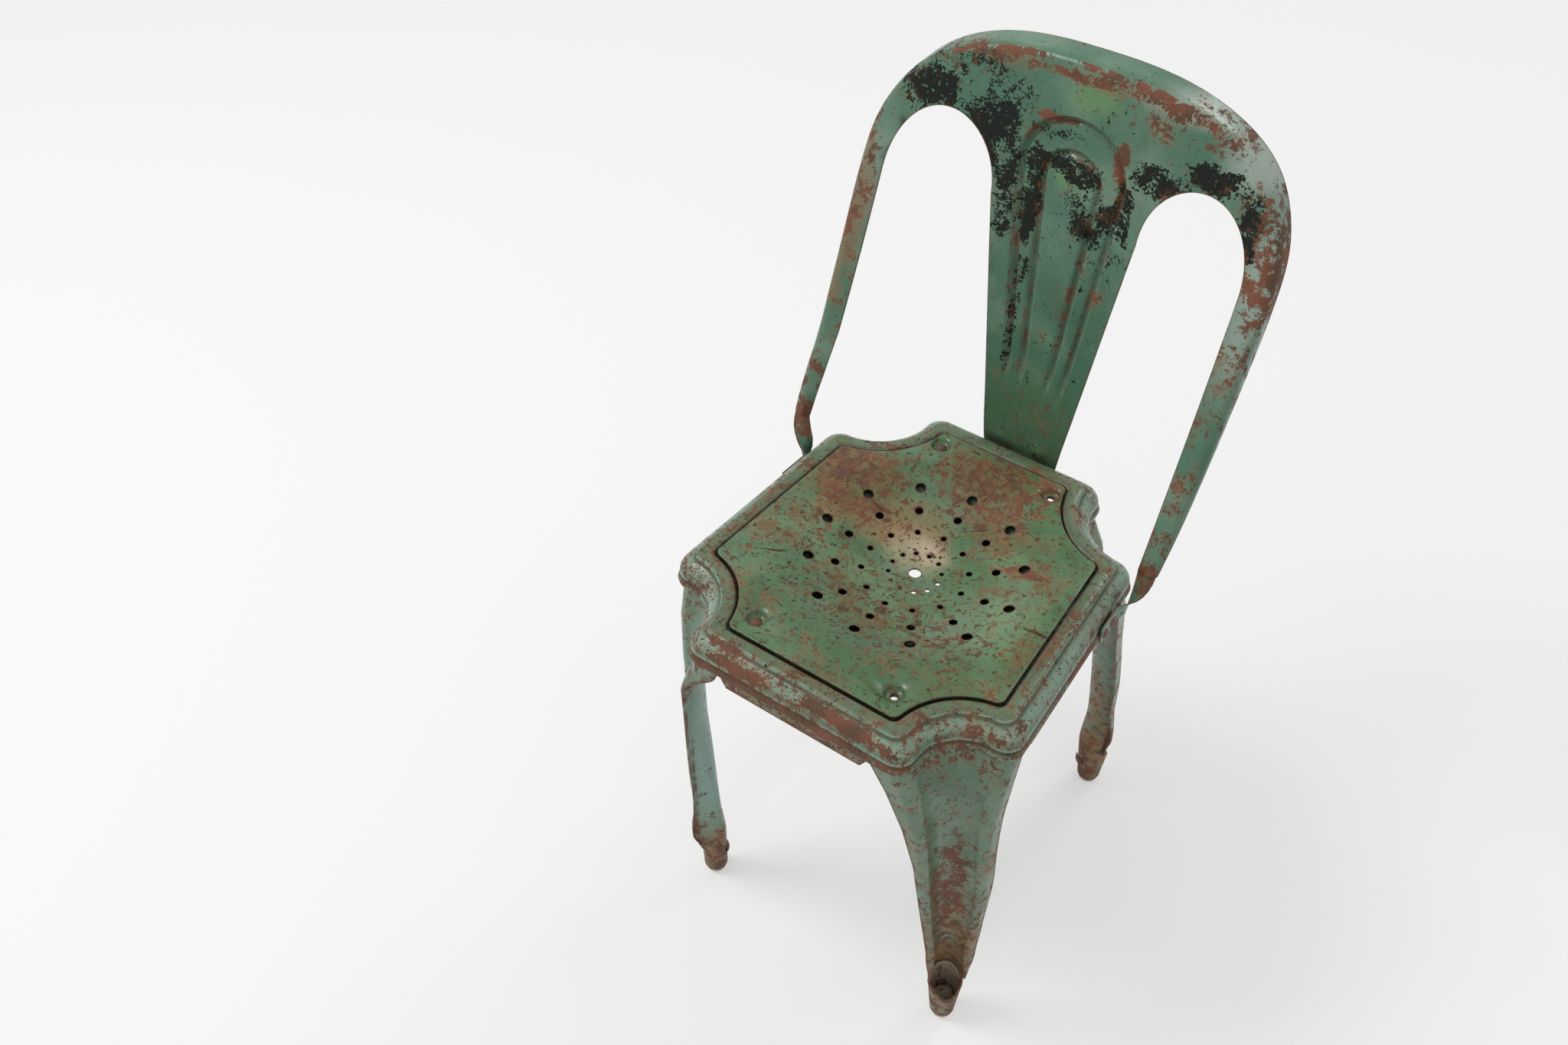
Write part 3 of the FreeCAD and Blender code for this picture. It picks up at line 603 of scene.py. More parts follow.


# Wear, painted highlights and painted shade of each group of pieces, as places in millimetres with
# a reach and a weight

BACK_LOOK = {
    "fading": 0.55, "shading": 0.3, "gloss": 0.25,
    "tints": [
        (tone(92, 132, 84), [
            ((10, 186, 777), (27, 40, 17), 0.8), ((-1, 178, 702), (17, 40, 11), 0.75)]),
        # Painted shade: the lower splat darker above the seat
        (tone(70, 98, 66), [((0, 152, 455), (70, 60, 90), 0.6)]),
        # Chalky faded paint and a painted sheen on the right shoulder, the crest's right half and
        # the arms
        (tone(170, 178, 170), [
            ((152, 198, 768), (44, 36, 40), 0.66), ((90, 195, 790), (60, 30, 14), 0.45),
            ((176, 170, 650), (22, 60, 130), 0.5), ((-170, 170, 640), (24, 60, 110), 0.2)]),
    ],
    "stain": 0.12, "stain_depth": 0.6, "stain_colour": tone(122, 90, 60),
    "stain_spots": [
        ((22, 150, 478), (22, 40, 26), 0.5), ((-184, 150, 560), (24, 80, 210), 0.75),
        ((180, 150, 560), (30, 80, 160), 0.3), ((-60, 190, 788), (110, 40, 14), 0.3),
        ((60, 190, 788), (110, 40, 14), 0.3),
    ],
    "chips": 0.1, "chip_scale": 52, "nicks": 0.2,
    "chip_spots": [
        ((-98, 182, 756), (80, 60, 42), 0.38), ((-74, 178, 716), (34, 60, 46), 0.42),
        ((-54, 175, 668), (16, 60, 54), 0.42), ((-33, 173, 690), (13, 60, 66), 0.52),
        ((-31, 166, 600), (9, 60, 110), 0.42), ((2, 176, 712), (36, 60, 18), 0.46),
        ((20, 173, 676), (30, 60, 36), 0.44), ((50, 175, 682), (15, 60, 60), 0.46),
        ((78, 180, 728), (34, 60, 20), 0.56), ((118, 181, 746), (44, 60, 17), 0.58),
        ((156, 176, 716), (15, 60, 48), 0.6), ((-150, 178, 735), (26, 60, 34), 0.28),
        ((-10, 184, 740), (44, 60, 7), 0.3), ((28, 168, 610), (10, 60, 60), 0.2),
    ],
    "rust": 0.1, "rust_scale": 48, "edge_rust": 0.9, "edge_radius": 2.6, "crest_rust": 0.6,
    "crest_spots": [
        ((-60, 190, 792), (130, 60, 24), 0.45), ((60, 190, 792), (120, 60, 34), 0.45),
    ],
    "rust_spots": [
        ((-70, 187, 789), (80, 30, 9), 0.36), ((20, 188, 792), (70, 30, 8), 0.42),
        ((80, 192, 786), (32, 30, 12), 0.5), ((64, 186, 768), (18, 40, 14), 0.5),
        ((41, 183, 734), (10, 40, 24), 0.6), ((-22, 183, 752), (26, 40, 6), 0.55),
        ((122, 200, 778), (26, 40, 9), 0.42), ((26, 170, 634), (9, 40, 24), 0.45),
        ((44, 166, 600), (8, 40, 24), 0.3), ((-175, 90, 450), (40, 90, 60), 0.3),
        ((175, 90, 450), (40, 90, 60), 0.3),
    ],
    "freckles": 0.17,
    "freckle_spots": [
        ((176, 190, 700), (30, 60, 110), 0.34), ((184, 170, 600), (20, 80, 160), 0.26),
        ((-182, 170, 640), (20, 80, 160), 0.26), ((120, 196, 780), (60, 40, 24), 0.2),
        ((-120, 192, 780), (70, 40, 24), 0.2), ((40, 186, 775), (60, 30, 20), 0.12),
        ((0, 152, 470), (60, 50, 60), 0.1),
    ],
}

SEAT_LOOK = {
    "fading": 0.4, "shading": 0.5, "gloss": 0.27, "fresh_rust": 0.5,
    "tints": [
        (tone(150, 116, 82), [
            ((-56, -6, 424), (40, 22, 60), 0.6), ((-30, 20, 424), (44, 26, 60), 0.5),
            ((-98, -20, 434), (20, 14, 60), 0.65)]),
        (tone(192, 170, 144), [
            ((-12, -8, 418), (38, 30, 60), 0.5), ((-2, -4, 418), (24, 16, 60), 0.32)]),
        (tone(120, 146, 108), [
            ((-20, -64, 430), (50, 30, 60), 0.3), ((100, -50, 436), (40, 60, 60), 0.4),
            ((-95, -50, 436), (36, 40, 60), 0.25), ((60, 20, 430), (30, 20, 60), 0.3)]),
        (tone(62, 94, 58), [
            ((20, -145, 434), (120, 46, 60), 0.6), ((20, 120, 438), (80, 16, 60), 0.3)]),
    ],
    # Painted shade on steep faces: the panel's turned-down edge and the walls of its cups and
    # holes
    "steep_shade": 0.85, "stain": 0.34, "stain_depth": 0.82, "stain_colour": tone(106, 78, 44),
    "stain_spots": [
        ((-100, 26, 436), (56, 50, 60), 0.34), ((0, 76, 436), (60, 46, 60), 0.34),
        ((40, 44, 430), (40, 30, 60), 0.34), ((-60, -40, 430), (34, 30, 60), 0.1),
        ((90, 0, 430), (44, 30, 60), 0.2), ((128, -80, 438), (12, 60, 60), 0.2),
        ((0, -100, 430), (90, 40, 60), 0.14), ((-110, -60, 434), (30, 40, 60), 0.24),
    ],
    "chips": 0.1, "chip_scale": 74, "nicks": 0.29, "chip_colour": tone(70, 50, 36),
    "chip_spots": [((-60, -110, 434), (50, 30, 60), 0.24), ((10, -80, 430), (60, 30, 60), 0.2)],
    "scratches": [(12, 9.0, 0.42), (64, 10.0, 0.34), (-38, 10.0, 0.4)], "rust": 0.2,
    "rust_scale": 78, "edge_rust": 0.8, "edge_radius": 3,
    "rust_spots": [
        ((-110, 34, 438), (34, 40, 60), 0.28), ((84, 12, 428), (34, 8, 60), 0.4),
        ((40, 100, 438), (60, 40, 60), 0.2), ((-90, -60, 436), (30, 30, 60), 0.16),
        ((-50, 10, 425), (50, 14, 60), 0.16), ((50, 50, 430), (40, 14, 60), 0.2),
    ],
    "freckles": 0.28,
    "freckle_spots": [
        ((-90, 20, 436), (60, 60, 60), 0.16), ((10, 80, 438), (70, 50, 60), 0.18),
        ((40, -100, 436), (100, 60, 60), 0.12),
    ],
}

FRAME_LOOK = {
    "fading": 0.5, "shading": 0.45, "gloss": 0.24,
    "tints": [
        # Painted highlight: paler bands along the shoulder and the lower ridge of the frame
        (tone(150, 172, 156), [
            ((0, 0, 432), (1000, 1000, 5), 0.45), ((0, 0, 422), (1000, 1000, 1.6), 0.35)]),
        (tone(82, 100, 68), [((0, 0, 440.5), (1000, 1000, 1.2), 0.5)]),
        # Painted highlight: a thin pale line along the outer edge of the flat band
        (tone(170, 188, 172), [((0, 0, 439.1), (1000, 1000, 0.8), 0.36)]),
        # Dirt and painted shade: dark lines in the hem's groove and the concave foot of the band's
        # step
        (tone(36, 34, 24), [
            ((0, 0, 418.3), (1000, 1000, 2.4), 0.85), ((0, 0, 437), (1000, 1000, 1.5), 0.6)]),
    ],
    "stain": 0.34, "stain_depth": 0.5, "stain_colour": tone(104, 84, 56),
    "stain_spots": [((0, -190, 420), (200, 40, 40), 0.2), ((160, 60, 430), (40, 120, 40), 0.14)],
    "chips": 0.1, "chip_scale": 60, "nicks": 0.26, "chip_colour": tone(52, 44, 32),
    "rust": 0.28, "rust_scale": 50, "edge_rust": 1, "edge_radius": 4,
    "rust_spots": [
        ((0, 0, 413), (400, 400, 8), 0.22), ((-30, -214, 415), (150, 20, 8), 0.34),
        ((30, -208, 433), (26, 12, 5), 0.4), ((60, -209, 431), (32, 12, 6), 0.46),
        ((88, -206, 429), (16, 14, 7), 0.46), ((-60, -212, 428), (60, 20, 6), 0.3),
        ((97, -181, 440), (18, 12, 10), 0.2), ((-75, -205, 438), (40, 12, 4), 0.3),
        ((-150, 0, 413), (30, 190, 12), 0.14), ((150, 0, 413), (30, 190, 12), 0.12),
        ((0, 150, 413), (150, 26, 12), 0.1), ((130, -150, 428), (46, 46, 10), 0.1),
        ((-140, -150, 425), (46, 46, 18), 0.2),
    ],
    "freckles": 0.3, "freckle_spots": [((0, -190, 420), (200, 50, 30), 0.08)],
    # Painted shade: the pan under the seat panel near black where it faces up
    "painted_shade_spots": [((0, -29, 420), (150, 150, 400), 1.0)],
}

LEG_LOOK = {
    "fading": 0.6, "shading": 0.4, "gloss": 0.26,
    "tints": [
        (tone(92, 100, 58), [((0, 0, 30), (400, 400, 180), 0.7)]),
        (tone(122, 155, 143), [((-130, -168, 230), (44, 40, 190), 0.95)]),
        (tone(76, 104, 74), [((122, 160, 240), (60, 60, 240), 0.6)]),
    ],
    "stain": 0.34, "stain_depth": 0.72,
    "stain_spots": [((0, 0, 60), (400, 400, 210), 0.3), ((-130, -168, 200), (44, 40, 160), -0.4)],
    "chips": 0.1, "chip_scale": 62, "nicks": 0.2, "chip_colour": tone(88, 58, 42),
    "scratches": [(40, 9.0, 0.42), (-30, 10.0, 0.36)], "rust": 0.26, "rust_scale": 74,
    "edge_rust": 1, "edge_radius": 5,
    "rust_spots": [
        ((0, 0, 10), (400, 400, 130), 0.3), ((134, -165, 230), (18, 30, 90), 0.29),
        ((0, 0, 405), (400, 400, 24), 0.14), ((-130, -166, 200), (40, 40, 170), -0.2),
        ((122, 160, 240), (60, 60, 200), -0.06),
    ],
    "freckles": 0.26,
    "freckle_spots": [
        ((0, 0, 120), (400, 400, 190), 0.18), ((134, -165, 220), (20, 30, 110), 0.12),
        ((-130, -166, 200), (44, 44, 190), -0.2), ((122, 160, 240), (60, 60, 200), -0.06),
    ],
}

RAIL_LOOK = {
    "fading": 0.4, "shading": 0.4, "gloss": 0.4, "stain": 0.45, "stain_depth": 0.75,
    "chips": 0.14, "nicks": 0.3, "chip_colour": tone(60, 48, 36), "rust": 0.52,
    "rust_scale": 36, "edge_rust": 1, "edge_radius": 5,
}


# Pressed marks of the splat and the bulge of the left arm

ARCHES = (
    # height of the top's centre, half width there and narrowing per metre below it, in metres
    (0.708, 0.046, 0.0895),
    (0.7005, 0.025, 0.059),
)
ARCH_RECESS = 0.7
GROOVES_END = 0.486
GROOVES_FADE = 0.05
SPLAT_BUMPS = ((-0.0223, 0.4354), (0.0175, 0.4375))
BUMP_RADIUS = 0.006
SPLAT_CUT = ((-0.064, 0.10, 0.405), (0.064, 0.25, 0.775), 2.6 * MM, 7)
ARM_INNER_X = -0.150
ARM_BULGE = 0.0054
ARM_SPAN = (0.422, 0.444, 0.455, 0.540)


def arch_distance(x, z, centre, half, narrowing):
    """Distance to an upside-down U: a half circle above its centre, two tapering legs below."""
    over = np.abs(np.hypot(x, z - centre) - half)
    under = np.abs(np.abs(x) - (half - narrowing * (centre - z)))
    return np.where(z > centre, over, under)


def press_depth(x, z, depth, width):
    """Depth of the nested grooves, fading out towards the seat.

    It is a cosine hollow across each arch, on a recess that fills the outer arch.
    """
    total = np.zeros_like(x)
    for arch in ARCHES:
        share = np.clip(arch_distance(x, z, *arch) / width, 0, 1)
        total = np.maximum(total, (1 + np.cos(np.pi * share)) / 2)
    centre, half, narrowing = ARCHES[0]
    across = np.where(z > centre, np.hypot(x, z - centre), np.abs(x) + narrowing * (centre - z))
    total = total + ARCH_RECESS * rise(half - across, -width, width)
    return depth * total * rise(z, GROOVES_END, GROOVES_END + GROOVES_FADE)


def bump_rise(x, z, height):
    """Height of the two round bumps: a smooth bell round each place."""
    total = np.zeros_like(x)
    for centre_x, centre_z in SPLAT_BUMPS:
        away = ((x - centre_x) ** 2 + (z - centre_z) ** 2) / BUMP_RADIUS ** 2
        total += height * np.exp(-away)
    return total


def pressed(points, sizes):
    """Presses the splat's grooves and bumps and bulges the left arm by a hump of the height."""
    x, z = points[:, 0], points[:, 2]
    points[:, 1] += press_depth(x, z, sizes.groove_depth, sizes.groove_width)
    points[:, 1] -= bump_rise(x, z, sizes.bump_height)
    points[:, 0] -= np.where(x < ARM_INNER_X, ARM_BULGE * hump(z, *ARM_SPAN), 0.0)
    return points


class CHAIR_OT_press_backrest(bpy.types.Operator):
    """Make the backrest with its pressed grooves and bumps, and paint it"""

    bl_idname = "chair.press_backrest"
    bl_label = "Press the backrest"

    def execute(self, context):
        sizes = context.scene.chair_sizes
        green = context.scene.chair_paint.back_green
        material = finishes().worn_paint("backrest_paint", green, BACK_LOOK)
        add_piece("backrest", "backrest_pressing", material,
                  lambda points: pressed(points, sizes), cuts=[SPLAT_CUT])
        return {"FINISHED"}


# Opening in the frame's pan, and the seat panel above it

PAN_CENTRE_Y = -0.0295
PAN_HOLE = 0.018
PAN_HOLE_WIDENED = 0.0232
PAN_BLEND = 0.070
PAN_CURVE = 0.58
PANEL_LIFT = 0.0010
PANEL_SHARE = 0.9948
CUP_PLACES = ((0.0684, -0.1667), (-0.0684, -0.1667), (0.0579, 0.1036), (-0.0579, 0.1036))
CUP_RADIUS = 0.0075
CUP_REACH = 0.013


def widened_pan(points):
    """Moves the pan's hole outwards by a share that falls to nought at the blend.

    The points climb with the pan, whose height is the square of the radius over its curve.
    """
    x, y, z = points[:, 0], points[:, 1] - PAN_CENTRE_Y, points[:, 2]
    away = np.hypot(x, y)
    share = np.clip((PAN_BLEND - away) / (PAN_BLEND - PAN_HOLE), 0, 1)
    grown = away + (PAN_HOLE_WIDENED - PAN_HOLE) * share
    lift = (grown ** 2 - away ** 2) / PAN_CURVE
    scale = grown / np.maximum(away, 1e-9)
    return np.stack([x * scale, y * scale + PAN_CENTRE_Y, z + lift], axis=1)


def lifted_panel(points):
    """Draws the panel in and raises it, less a smooth bell over each screw cup."""
    x, y = points[:, 0], points[:, 1]
    kept = np.ones_like(x)
    for cup_x, cup_y in CUP_PLACES:
        kept *= rise(np.hypot(x - cup_x, y - cup_y), CUP_RADIUS, CUP_REACH)
    return np.stack([x * PANEL_SHARE, PAN_CENTRE_Y + (y - PAN_CENTRE_Y) * PANEL_SHARE,
                     points[:, 2] + PANEL_LIFT * kept], axis=1)


class CHAIR_OT_paint_seat(bpy.types.Operator):
    """Lift the dished panel, widen the opening under it and paint the panel and the frame"""

    bl_idname = "chair.paint_seat"
    bl_label = "Paint the seat"

    def execute(self, context):
        paint = context.scene.chair_paint
        material = finishes().worn_paint("seat_paint", paint.seat_green, SEAT_LOOK)
        add_piece("seat_panel", "seat_sheet", material, lifted_panel)
        material = finishes().worn_paint("frame_paint", paint.frame_green, FRAME_LOOK)
        add_piece("seat_frame", "seat_rim", material, widened_pan)
        return {"FINISHED"}


# Flared feet and shaped lips of the legs, in metres from each foot's axis and above the floor

FRONT_FOOT = (0.1393, 0.1640)
BACK_FOOT = (0.1217, 0.1635)
DIAGONAL = math.sqrt(2)

TUBE_LOW = 0.009
TUBE_HIGH = 0.064
TUBE_RADIUS = 0.012
FOOT_FLARE = 0.37
FLARE_END = 0.125
BENT_FLARE = 0.08
BENT_FLARE_END = 0.110

LIPS_LOW = 0.063
LIP_FREE = 0.115
LIP_SQUEEZE = 0.9
LIP_WRAP = 0.5
WRAP_FULL = 0.085
WRAP_END = 0.170
SIDE_SPARED = 0.35
SIDE_BULGE = 0.0075
SIDE_SPAN = (0.040, 0.170, 0.200, 0.330)

BENT_LIP = (0.0095, 0.0073)
BENT_LOW = 0.050
BENT_SPAN = (0.050, 0.075, 0.345, 0.395)
LIP_LINE = (0.0143, 0.103)
FOLD_LINE = (-0.006, -0.05)
LINES_FROM = 0.09
LIP_NARROWED = 0.6

HIDDEN_FOLD = -0.002
HIDDEN_NARROWED = 0.95
HIDDEN_SHIFT = 0.005
HIDDEN_SPAN = (0.070, 0.158, 0.195, 0.370)

LEG_MOUTH_DROP = 0.008
FOOT_MOUTH_DROP = 0.016
FOOT_MOUTH_RISE = 0.011
MOUTH_SPAN = (0.014, 0.046, 0.062, 0.080)
BORE = 0.0095
BORE_WIDENED = 0.2
BORE_FLOOR = 0.005
DIRT_FILL = 0.026


def filled_bore(x, y, z):
    """Widens a sleeve's bore towards its mouth and lifts the bore's floor, as dirt fills it."""
    widened = 1 + BORE_WIDENED * rise(z, 0.010, 0.046) * (np.hypot(x, y) < BORE)
    x, y = x * widened, y * widened
    floor = (np.abs(z - BORE_FLOOR) < 0.0003) & (np.hypot(x, y) < BORE)
    return x, y, z + DIRT_FILL * floor


def wrapped(x, y, amount):
    """Draws the lips round the foot's axis towards the corner.

    The share of the half turn from the hidden side, t, becomes t + amount * t * (1 - t), so the
    hidden side and the corner stay where they are.
    """
    outward = (x + y) / DIAGONAL
    across = (x - y) / DIAGONAL
    away = np.hypot(x, y)
    share = 1 - np.arctan2(np.abs(across), outward) / math.pi
    share = share + amount * share * (1 - share)
    angle = math.pi * (1 - share)
    outward = away * np.cos(angle)
    across = away * np.sin(angle) * np.sign(across)
    return (outward + across) / DIAGONAL, (outward - across) / DIAGONAL


def flared(x, y, z, bent):
    """Flares the foot into a cone and folds the lips into it.

    The distance from the axis grows by a share that rises over the tube and fades out above it,
    less on the bent leg. Above the tube, what sticks out past the cone is drawn in.
    """
    full = np.where(bent, BENT_FLARE, FOOT_FLARE)
    closing = 1 - rise(z, TUBE_HIGH, np.where(bent, BENT_FLARE_END, FLARE_END))
    flare = 1 + full * closing * np.clip((z - TUBE_LOW) / (TUBE_HIGH - TUBE_LOW), 0, 1)
    x, y = wrapped(x * flare, y * flare, LIP_WRAP * (1 - rise(z, WRAP_FULL, WRAP_END)))
    away = np.hypot(x, y)
    cone = TUBE_RADIUS * flare
    side = rise(x, -0.002, 0.010) * (1 - rise(y, 0.004, 0.012))
    free = rise(z, TUBE_HIGH, LIP_FREE)
    kept = 1 - LIP_SQUEEZE * (1 - free) * (1 - SIDE_SPARED * side)
    drawn = np.where(away > cone, cone + (away - cone) * kept, away) / np.maximum(away, 1e-9)
    drawn = np.where(z > LIPS_LOW, drawn, 1.0)
    return x * drawn, y * drawn


def bent_lip(x, y, z):
    """Pushes the front lip out towards the corner and narrows what is turned in beyond its fold.

    The push grows with the distance in front of the foot's axis, taken as a share of the lip's own
    distance, which rises with the height.
    """
    lip_y = LIP_LINE[0] + LIP_LINE[1] * (z - LINES_FROM)
    fold_x = FOLD_LINE[0] + FOLD_LINE[1] * (z - LINES_FROM)
    height = hump(z, *BENT_SPAN)
    near = y / np.maximum(lip_y, 0.010)
    narrowed = height * (LIP_NARROWED + 0.25 * rise(z, 0.200, 0.330))
    x = np.where((near > 0.7) & (x < fold_x), fold_x + (x - fold_x) * (1 - narrowed), x)
    push = height * rise(near, -0.1, 0.9)
    push = push * (1 - 0.6 * rise(z, 0.170, 0.360)) * (1.45 - 0.45 * rise(z, 0.070, 0.130))
    return x + BENT_LIP[0] * push, y + BENT_LIP[1] * push


def hidden_lip(x, z):
    """Narrows the inner lip behind its fold halfway up and shifts it outwards."""
    narrowed = HIDDEN_NARROWED * hump(z, *HIDDEN_SPAN)
    x = np.where(x < HIDDEN_FOLD, HIDDEN_FOLD + (x - HIDDEN_FOLD) * (1 - narrowed), x)
    return x + HIDDEN_SHIFT * narrowed


def mouth_slope(x, y, z, drop, lift):
    """How far the mouth's outer half is lowered, less how far its inner half is raised."""
    outward = (x + y) / DIAGONAL
    lowered = drop * np.clip((outward + 0.004) / 0.016, 0, 1) * hump(z, *MOUTH_SPAN)
    return lowered - lift * np.clip((0.002 - outward) / 0.014, 0, 1) * rise(z, 0.030, 0.062)


def shaped_leg(points, mouth_drop, mouth_rise):
    """Shapes the points of a leg, a foot or a rivet by the steps above, in their order.

    Each point is taken relative to its own foot's axis, with both sides counted outwards. The side
    lip moves outwards along a hump of the height. Only a sleeve, whose mouth rises, has a bore.
    Only the front left leg has the bent lip and only the hidden back left leg the narrow one.
    """
    way_x, way_y = np.sign(points[:, 0]), np.sign(points[:, 1])
    front, left = way_y < 0, way_x < 0
    axis_x = np.where(front, FRONT_FOOT[0], BACK_FOOT[0])
    axis_y = np.where(front, FRONT_FOOT[1], BACK_FOOT[1])
    x = points[:, 0] * way_x - axis_x
    y = points[:, 1] * way_y - axis_y
    z = points[:, 2]
    if mouth_rise:
        x, y, z = filled_bore(x, y, z)
    x, y = flared(x, y, z, front & left)
    x = x + SIDE_BULGE * hump(z, *SIDE_SPAN) * rise(x, -0.006, 0.010)
    x, y = np.where(front & left & (z > BENT_LOW), bent_lip(x, y, z), (x, y))
    x = np.where(left & ~front, hidden_lip(x, z), x)
    z = z - mouth_slope(x, y, z, mouth_drop, mouth_rise)
    return np.stack([(x + axis_x) * way_x, (y + axis_y) * way_y, z], axis=1)


def add_leg_piece(node, name, material, longest, mouth_drop, mouth_rise=0.0):
    """Adds the shaped piece of a packed leg, foot or rivet node, refined most at its lower end."""
    lower = ((-1, -1, -1), (1, 1, 0.13), 0.45 * longest, 6)
    upper = ((-1, -1, 0.12), (1, 1, 1), longest, 5)
    add_piece(node, name, material,
              lambda points: shaped_leg(points, mouth_drop, mouth_rise), 40, (lower, upper))


class CHAIR_OT_shape_legs(bpy.types.Operator):
    """Shape and paint the four gutter legs, their feet and the feet's rivets"""

    bl_idname = "chair.shape_legs"
    bl_label = "Shape the legs"

    def execute(self, context):
        green = context.scene.chair_paint.frame_green
        paint = finishes().worn_paint("leg_paint", green, LEG_LOOK)
        foot_rust = finishes().rusty_steel("foot_rust", FOOT_DUST, 0.68)
        rivet_rust = finishes().rusty_steel("rivet_rust", green, 0.2, shine=0.6)
        for corner in ("front_left", "front_right", "back_left", "back_right"):
            add_leg_piece("leg_" + corner, "leg_gutter_" + corner, paint,
                          8 * MM, LEG_MOUTH_DROP)
            add_leg_piece("foot_" + corner, "foot_cone_" + corner, foot_rust,
                          6 * MM, FOOT_MOUTH_DROP, FOOT_MOUTH_RISE)
        add_leg_piece("foot_rivets", "foot_rivet_heads", rivet_rust, 2 * MM, 0.0)
        return {"FINISHED"}


class CHAIR_OT_paint_rails(bpy.types.Operator):
    """Paint the four rails under the seat frame"""

    bl_idname = "chair.paint_rails"
    bl_label = "Paint the rails"

    def execute(self, context):
        green = context.scene.chair_paint.frame_green
        material = finishes().worn_paint("rail_paint", green, RAIL_LOOK)
        for side in ("front", "back", "left", "right"):
            dress("rail_" + side, material)
        return {"FINISHED"}


class CHAIR_OT_rust_fasteners(bpy.types.Operator):
    """Rust the backrest's rivets, the seat screws and their nuts"""

    bl_idname = "chair.rust_fasteners"
    bl_label = "Rust the fasteners"

    def execute(self, context):
        green = context.scene.chair_paint.frame_green
        fastener = finishes().rusty_steel("fastener_rust", green, 0.2, shine=0.8)
        for node in ("backrest_rivets", "seat_screws", "seat_nuts"):
            dress(node, fastener)
        return {"FINISHED"}


# Studio and camera

CAMERA_AIM = (-0.1163, -0.0630, 0.440)
CAMERA_DISTANCE = 1.345
CAMERA_TURN = 37.4
CAMERA_TILT = 45.05
CAMERA_ROLL = -1.4
FLOOR_RADIUS = 14.0
FLOOR_SIDES = 96
PAPER_EVEN = 0.45
PAPER_WHITE = 0.905
BACKDROP_LEVEL = 0.86


def camera_matrix():
    """Camera pose from its angles round the aim, with right, up and back as its axes."""
    turn, tilt, roll = (math.radians(angle) for angle in (CAMERA_TURN, CAMERA_TILT, CAMERA_ROLL))
    back = Vector((math.sin(turn) * math.cos(tilt), -math.cos(turn) * math.cos(tilt),
                   math.sin(tilt)))
    right = (-back).cross(Vector((0, 0, 1))).normalized()
    up = right.cross(-back)
    rolled_right = math.cos(roll) * right + math.sin(roll) * up
    rolled_up = math.cos(roll) * up - math.sin(roll) * right
    axes = Matrix((rolled_right, rolled_up, back)).transposed()
    return Matrix.Translation(Vector(CAMERA_AIM) + CAMERA_DISTANCE * back) @ axes.to_4x4()


def add_softbox(name, place, aim, size, power):
    """A square area light that faces the aim."""
    lamp = bpy.data.lights.new(name, "AREA")
    lamp.size = size
    lamp.energy = power
    light = placed(name, lamp)
    light.location = place
    light.rotation_euler = (Vector(aim) - Vector(place)).to_track_quat("-Z", "Y").to_euler()


def floor_disc():
    """A flat disc: points on a circle round the origin, joined as one face."""
    angles = np.linspace(0, 2 * np.pi, FLOOR_SIDES, endpoint=False)
    circle = FLOOR_RADIUS * np.stack([np.cos(angles), np.sin(angles), 0 * angles], axis=1)
    mesh = bpy.data.meshes.new("studio_floor")
    mesh.from_pydata(circle.tolist(), [], [list(range(FLOOR_SIDES))])
    return mesh


def studio_paper(shade):
    """Matt white paper with a soft shadow: the camera sees a share of it as even white."""
    material, graph = new_material("studio_paper")
    dull = [channel * 0.985 for channel in shade]
    colour = graph.blend(graph.noise(1.3, 2.0), rgba(dull), rgba(shade))
    seen = graph.times(graph.add("LightPath").outputs["Is Camera Ray"], PAPER_EVEN)
    shader = graph.add("BsdfPrincipled", {
        "Base Color": graph.blend(seen, colour, BLACK), "Roughness": 0.9,
        "Specular IOR Level": 0.1, "Emission Color": WARM_WHITE,
        "Emission Strength": graph.times(seen, PAPER_WHITE)})
    graph.add("OutputMaterial", {"Surface": shader.outputs[0]})
    return material


def light_world(strength):
    """An even white sky that shows as white paper to the camera."""
    world = bpy.data.worlds.new("studio_sky")
    bpy.context.scene.world = world
    world.use_nodes = True
    world.node_tree.nodes.clear()
    graph = Graph(world.node_tree)
    rays = graph.add("LightPath").outputs
    seen = graph.most(rays["Is Camera Ray"], rays["Is Glossy Ray"])
    sky = graph.add("Background", {
        "Color": (1, 1, 1, 1), "Strength": graph.mix(seen, strength, BACKDROP_LEVEL)})
    graph.add("OutputWorld", {"Surface": sky.outputs[0]})


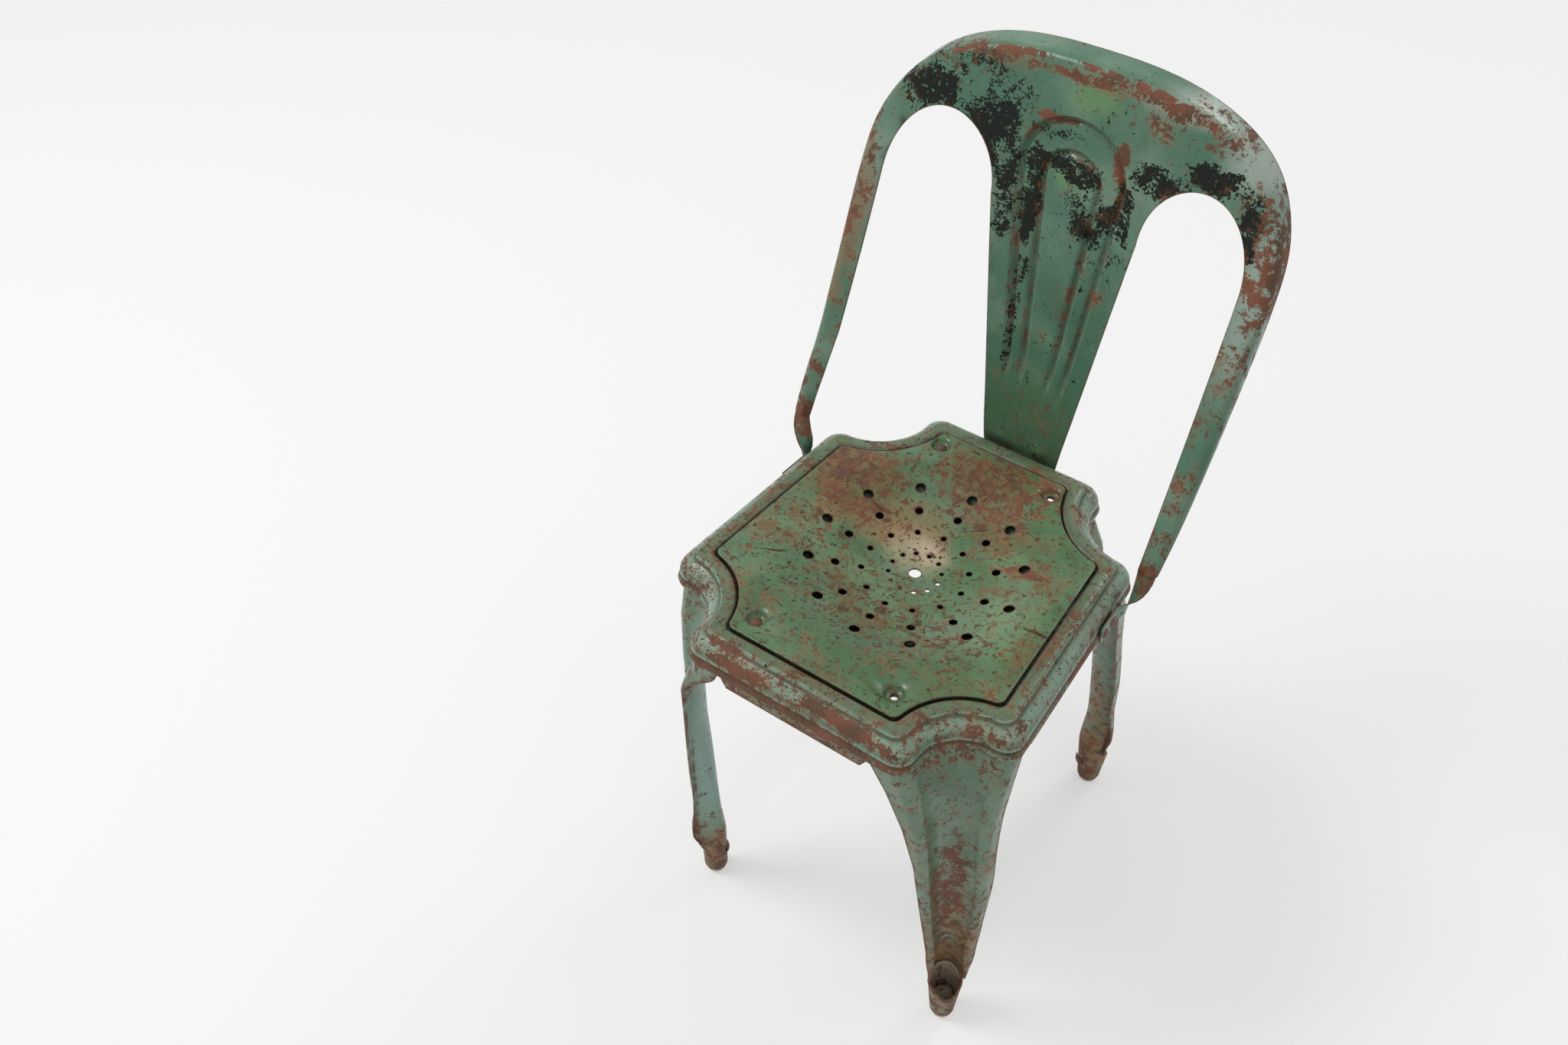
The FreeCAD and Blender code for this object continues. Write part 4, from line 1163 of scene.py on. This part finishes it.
class CHAIR_OT_set_stage(bpy.types.Operator):
    """Set the floor, the lights and the camera of the studio"""

    bl_idname = "chair.set_stage"
    bl_label = "Set the stage"

    def execute(self, context):
        scene = context.scene
        look = scene.studio_look
        disc = floor_disc()
        disc.materials.append(studio_paper(look.floor_shade))
        floor = placed("studio_floor", disc)
        light_world(look.world_strength)
        add_softbox("key_softbox", (-1.9, -1.1, 3.2), (0, 0, 0.3), 1.2, look.key_power)
        add_softbox("rear_softbox", (0.6, 2.6, 3.0), (0, 0, 0.5), 1.0, look.fill_power)
        lens = bpy.data.cameras.new("photo_camera")
        lens.sensor_fit = "HORIZONTAL"
        lens.sensor_width = 36
        lens.lens = look.lens
        lens.clip_end = 60
        camera = placed("photo_camera", lens)
        camera.matrix_world = camera_matrix()
        scene.camera = camera
        scene.view_settings.view_transform = "Standard"
        return {"FINISHED"}


class CHAIR_PT_build(bpy.types.Panel):
    """Buttons and settings of the chair"""

    bl_label = "Worn bistro chair"
    bl_idname = "CHAIR_PT_build"
    bl_space_type = "VIEW_3D"
    bl_region_type = "UI"
    bl_category = "Chair"

    def draw(self, context):
        for group in SETTINGS:
            settings = getattr(context.scene, group)
            for key in settings.bl_rna.properties.keys():
                if key not in ("rna_type", "name"):
                    self.layout.prop(settings, key)
        for operator in OPERATORS:
            self.layout.operator(operator.bl_idname)


SETTINGS = {"chair_paint": ChairPaint, "chair_sizes": ChairSizes, "studio_look": StudioLook}
OPERATORS = (
    CHAIR_OT_press_backrest,
    CHAIR_OT_paint_seat,
    CHAIR_OT_shape_legs,
    CHAIR_OT_paint_rails,
    CHAIR_OT_rust_fasteners,
    CHAIR_OT_set_stage,
)
CLASSES = (*SETTINGS.values(), *OPERATORS, CHAIR_PT_build)


def register():
    """Registers the classes and hangs the settings on the scene."""
    for kind in CLASSES:
        bpy.utils.register_class(kind)
    for group, kind in SETTINGS.items():
        setattr(bpy.types.Scene, group, bpy.props.PointerProperty(type=kind))


def unregister():
    """Takes the settings and the classes away again."""
    for group in SETTINGS:
        delattr(bpy.types.Scene, group)
    for kind in reversed(CLASSES):
        bpy.utils.unregister_class(kind)


def main():
    """Registers the add-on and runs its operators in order."""
    register()
    bpy.ops.chair.press_backrest()
    bpy.ops.chair.paint_seat()
    bpy.ops.chair.shape_legs()
    bpy.ops.chair.paint_rails()
    bpy.ops.chair.rust_fasteners()
    bpy.ops.chair.set_stage()


if __name__ == "__main__":
    main()
